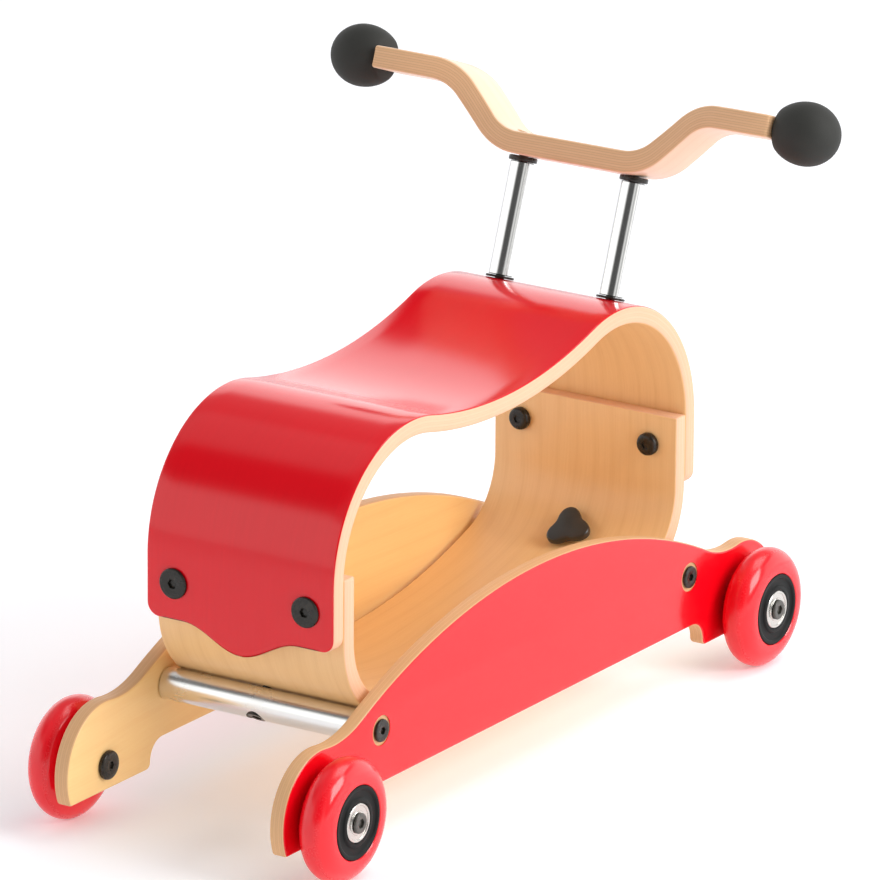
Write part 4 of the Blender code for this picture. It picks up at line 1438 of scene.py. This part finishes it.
@dataclass(frozen=True)
class Steering:
    """The posts, the handlebar and its ball grips."""

    lean: float = math.radians(20)
    spread: float = 0.0748
    reach: float = 0.0715
    post_radius: float = 0.007
    screw_grip: float = 0.014
    ply: float = 0.013
    screw_sink: float = 0.0034
    screw_seat: float = 0.0063
    screw_bore: float = 0.0030
    flat_half: float = 0.0355
    bend_radius: float = 0.031
    bend_angle: float = math.radians(44.5)
    rise: float = 0.0338
    depth: float = 0.033
    sweep: float = 0.012
    sweep_start: float = 0.054
    sweep_length: float = 0.070
    half_span: float = 0.1327
    grip_radius: float = 0.0183
    grip_neck: float = 0.0125
    grip_near: float = 0.0162
    grip_length: float = 0.0360
    seat: Seat = Seat()

    def way(self) -> Vector:
        """Return the direction in which the posts rise."""
        return Vector((0, math.sin(self.lean), math.cos(self.lean)))

    def foot(self, side: float) -> Vector:
        """Return where a post's axis meets the saddle."""
        centre = Vector((side * self.spread / 2, *self.seat.hump(End.FRONT)))
        return centre + self.way() * self.seat.front_radius

    def frame(self) -> Matrix:
        """Return the placement of the handlebar's underside."""
        foot = self.foot(0) + self.way() * self.reach
        return Matrix.Translation(foot) @ Matrix.Rotation(-self.lean, 4, "X")

    def swept(self, x: np.ndarray) -> np.ndarray:
        """Return how far the bar is swept back at distances from its middle."""
        share = np.clip((np.abs(x) - self.sweep_start) / self.sweep_length, 0.0, 1.0)
        return -self.sweep * share * share * (3 - 2 * share)

    def handlebar(self) -> None:
        """Build the handlebar."""
        radius, angle = self.bend_radius, self.bend_angle
        slope = (self.rise - 2 * radius * (1 - math.cos(angle))) / math.sin(angle)
        bends = 2 * radius * math.sin(angle) + slope * math.cos(angle)
        wing = self.half_span - self.flat_half - bends
        top, low = self.ply + self.rise, self.rise
        pen = Pen([Vector((-self.half_span, 0, low)), Vector((-self.half_span, 0, top))],
                  X_AXIS, -Y_AXIS)
        pen.push(wing, 4).bend(radius, -angle, 12).push(slope, 8).bend(radius, angle, 12)
        pen.push(2 * self.flat_half, 4)
        pen.bend(radius, angle, 12).push(slope, 8).bend(radius, -angle, 12).push(wing, 4)
        shape = Shape.slab(pen, [-self.depth / 2, self.depth / 2])
        for vert in shape.bm.verts:
            vert.co.y += float(self.swept(np.array([vert.co.x]))[0])
        shape.round_edges(SHEET_EDGE, 4)
        seats = []
        for hand in Hand:
            seat = Shape.turned([(0, self.ply), (self.screw_seat, self.ply), (self.screw_seat, 0),
                                 (self.screw_bore, 0), (self.screw_bore, -self.ply),
                                 (0, -self.ply)], 48)
            floor = Vector((hand.value * self.spread / 2, 0, self.ply - self.screw_sink))
            seats.append(seat.place(Matrix.Translation(floor)))
        chart = Chart(pen.stations, -Y_AXIS, self.ply,
                      shear=lambda points: -self.swept(points[:, 0]))
        carved(shape, seats).piece("handlebar", "bar_ply", BAR_VENEER, BAR_VENEER, BAR_EDGE,
                                   at=self.frame(), chart=chart)

    def grip(self) -> Shape:
        """Make a ball grip with a short neck.

        Returns:
            The grip, with its open end at local zero.
        """
        start = math.acos(self.grip_neck / self.grip_radius)
        near = self.grip_near / math.sin(start)
        far = self.grip_length - self.grip_near
        turns = [-start + (QUARTER + start) * i / 40 for i in range(1, 40)]
        ball = [(self.grip_radius * math.cos(a),
                 self.grip_near + (near if a < 0 else far) * math.sin(a)) for a in turns]
        profile = [(0, 0), (self.grip_neck - 0.0008, 0), (self.grip_neck - 0.0002, 0.0003), *ball,
                   (0, self.grip_length)]
        return Shape.turned(profile, 96)

    def post(self, length: float) -> Shape:
        """Make a post, drilled at both ends.

        Args:
            length: Its length.

        Returns:
            The post, standing on local zero.
        """
        bore, radius, soft = self.screw_bore, self.post_radius, 0.0004
        profile = [(0, length - self.screw_grip), (bore, length - self.screw_grip), (bore, length),
                   (radius - soft, length), (radius, length - soft), (radius, soft),
                   (radius - soft, 0), (bore, 0), (bore, self.screw_grip), (0, self.screw_grip)]
        return Shape.turned(profile, 72)

    def build(self) -> None:
        """Build the posts with their washers and screws, the handlebar and the grips."""
        way = self.way()
        start = 2 * FIT + FOOT_WASHER.thickness
        stop = self.reach - 2 * FIT - TOP_WASHER.thickness
        hollow = settle(self.seat.front_radius - self.seat.ply, FOOT_SCREW.head)
        under = self.seat.ply + hollow + FIT
        over = self.ply - self.screw_sink + FIT
        sunk = self.screw_grip - FIT
        foot_screw = FOOT_SCREW.cut(under + start + sunk)
        top_screw = TOP_SCREW.cut(over + self.reach - stop + sunk)
        for hand in Hand:
            side, base = hand.label, self.foot(hand.value)
            self.post(stop - start).piece(f"post_{side}", "aluminium", POST_METAL,
                                          at=facing(base + way * start, way))
            FOOT_WASHER.fit(f"post_foot_washer_{side}", base + way * FIT, way)
            TOP_WASHER.fit(f"post_top_washer_{side}", base + way * (stop + FIT), way)
            foot_screw.fit(f"post_foot_screw_{side}", base - way * under, way)
            top_screw.fit(f"handlebar_screw_{side}", base + way * (self.reach + over), -way)
            mouth = Vector((hand.value * (self.half_span + FIT), -self.sweep,
                            self.ply / 2 + self.rise))
            self.grip().piece(f"grip_{side}", "black_rubber", GRIP_RUBBER,
                              at=facing(self.frame() @ mouth, X_AXIS * hand.value))
        self.handlebar()


# Studio


@dataclass(frozen=True)
class SkyPatch:
    """A part of the surroundings with its own brightness, placed and sized in degrees."""

    azimuth: float
    elevation: float
    inner: float
    outer: float
    level: float
    above_horizon: bool = False


@dataclass(frozen=True)
class Lamp:
    """A square soft light."""

    name: str
    place: tuple[float, float, float]
    size: float
    power: float

    def hang(self, target: Vector) -> None:
        """Hang the lamp in its place.

        Args:
            target: What it points at.
        """
        light = bpy.data.lights.new(self.name, "AREA")
        light.shape = "SQUARE"
        light.size = self.size
        light.energy = self.power
        place = Vector(self.place)
        linked(self.name, light).matrix_world = facing(place, place - target)


KEY = Lamp("key", (2.6, 0.35, 1.6), 1.6, 56.0)
TOP = Lamp("top", (1.1, 1.3, 3.2), 2.0, 40.0)
CEILING = SkyPatch(0.0, 90.0, 54.0, 61.0, 0.40)
CEILING_PANEL = SkyPatch(-95.0, 57.0, 9.0, 18.0, 0.70)
CEILING_SHADE = SkyPatch(-51.0, 46.0, 7.0, 16.0, 0.12)
CAMERA_SIDE = SkyPatch(27.0, 20.0, 18.0, 40.0, 0.10, above_horizon=True)
RIGHT_SIDE = SkyPatch(92.0, 22.0, 20.0, 36.0, 0.40, above_horizon=True)


@dataclass(frozen=True)
class Studio:
    """The pale floor, the soft light, the surroundings and the camera."""

    azimuth: float = 33.13
    elevation: float = 17.6
    roll: float = 0.4
    lens: float = 363.53
    distance: float = 4.9829
    aim: tuple[float, float, float] = (0.0, 0.0, 0.170)
    shift_right: float = 0.0071
    shift_up: float = 0.0067
    floor_size: float = 30.0
    walls: float = 1.55
    walls_rise: float = 0.15
    horizon: Pair = (0.02, 0.10)
    middle: tuple[float, float, float] = (0.0, 0.0, 0.15)
    lamps: tuple[Lamp, ...] = (KEY, TOP)
    patches: tuple[SkyPatch, ...] = (CEILING, CEILING_PANEL, CEILING_SHADE, CAMERA_SIDE, RIGHT_SIDE)

    def camera(self) -> None:
        """Place the camera."""
        turn, rise, roll = (math.radians(a) for a in (self.azimuth, self.elevation, self.roll))
        back = Vector((math.sin(turn) * math.cos(rise), -math.cos(turn) * math.cos(rise),
                       math.sin(rise)))
        level = Vector((math.cos(turn), math.sin(turn), 0))
        above = back.cross(level)
        right = level * math.cos(roll) + above * math.sin(roll)
        up = above * math.cos(roll) - level * math.sin(roll)
        lens = bpy.data.cameras.new("camera")
        lens.lens = self.lens
        lens.sensor_width = 36.0
        lens.clip_end = 60.0
        item = linked("camera", lens)
        place = (Vector(self.aim) + right * self.shift_right + up * self.shift_up
                 + back * self.distance)
        aimed = Matrix((right, up, back)).transposed().to_4x4()
        item.matrix_world = Matrix.Translation(place) @ aimed
        bpy.context.scene.camera = item

    def floor(self) -> None:
        """Lay the floor."""
        bm = bmesh.new()
        bmesh.ops.create_grid(bm, x_segments=2, y_segments=2, size=self.floor_size / 2)
        floor = linked("studio_floor", poured("studio_floor", bm))
        floor.data.materials.append(FLOOR.material)

    def surroundings(self) -> None:
        """Build the white walls with the darker ceiling and the unlit side behind the camera."""
        graph = Graph(bpy.data.worlds.new("studio"), "Background")
        x, y, z = graph.axes()
        level = self.walls + y * self.walls_rise
        for patch in self.patches:
            turn, rise, inner, outer = (math.radians(angle) for angle in (
                patch.azimuth, patch.elevation, patch.inner, patch.outer))
            near = (x * math.sin(turn) - y * math.cos(turn)) * math.cos(rise) + z * math.sin(rise)
            share = near.between(math.cos(outer), math.cos(inner))
            if patch.above_horizon:
                share = share * z.between(*self.horizon)
            level = level + (patch.level - level) * share
        graph.dress(Color=(1.0, 1.0, 1.0, 1.0), Strength=level)
        bpy.context.scene.world = graph.owner

    def build(self) -> None:
        """Build the floor, the lights, the surroundings and the camera."""
        self.floor()
        self.surroundings()
        bpy.context.scene.view_settings.view_transform = "Standard"
        for lamp in self.lamps:
            lamp.hang(Vector(self.middle))
        self.camera()


def main() -> None:
    """Build the toy and its studio in order."""
    logging.basicConfig(level=logging.INFO, format="%(name)s %(message)s")
    for part in (SideBoards(), CrossBars(), Wheels(), Seat(), Clamps(), Steering()):
        LOG.info("building %s", type(part).__name__)
        part.build()
    Studio().build()


if __name__ == "__main__":
    main()
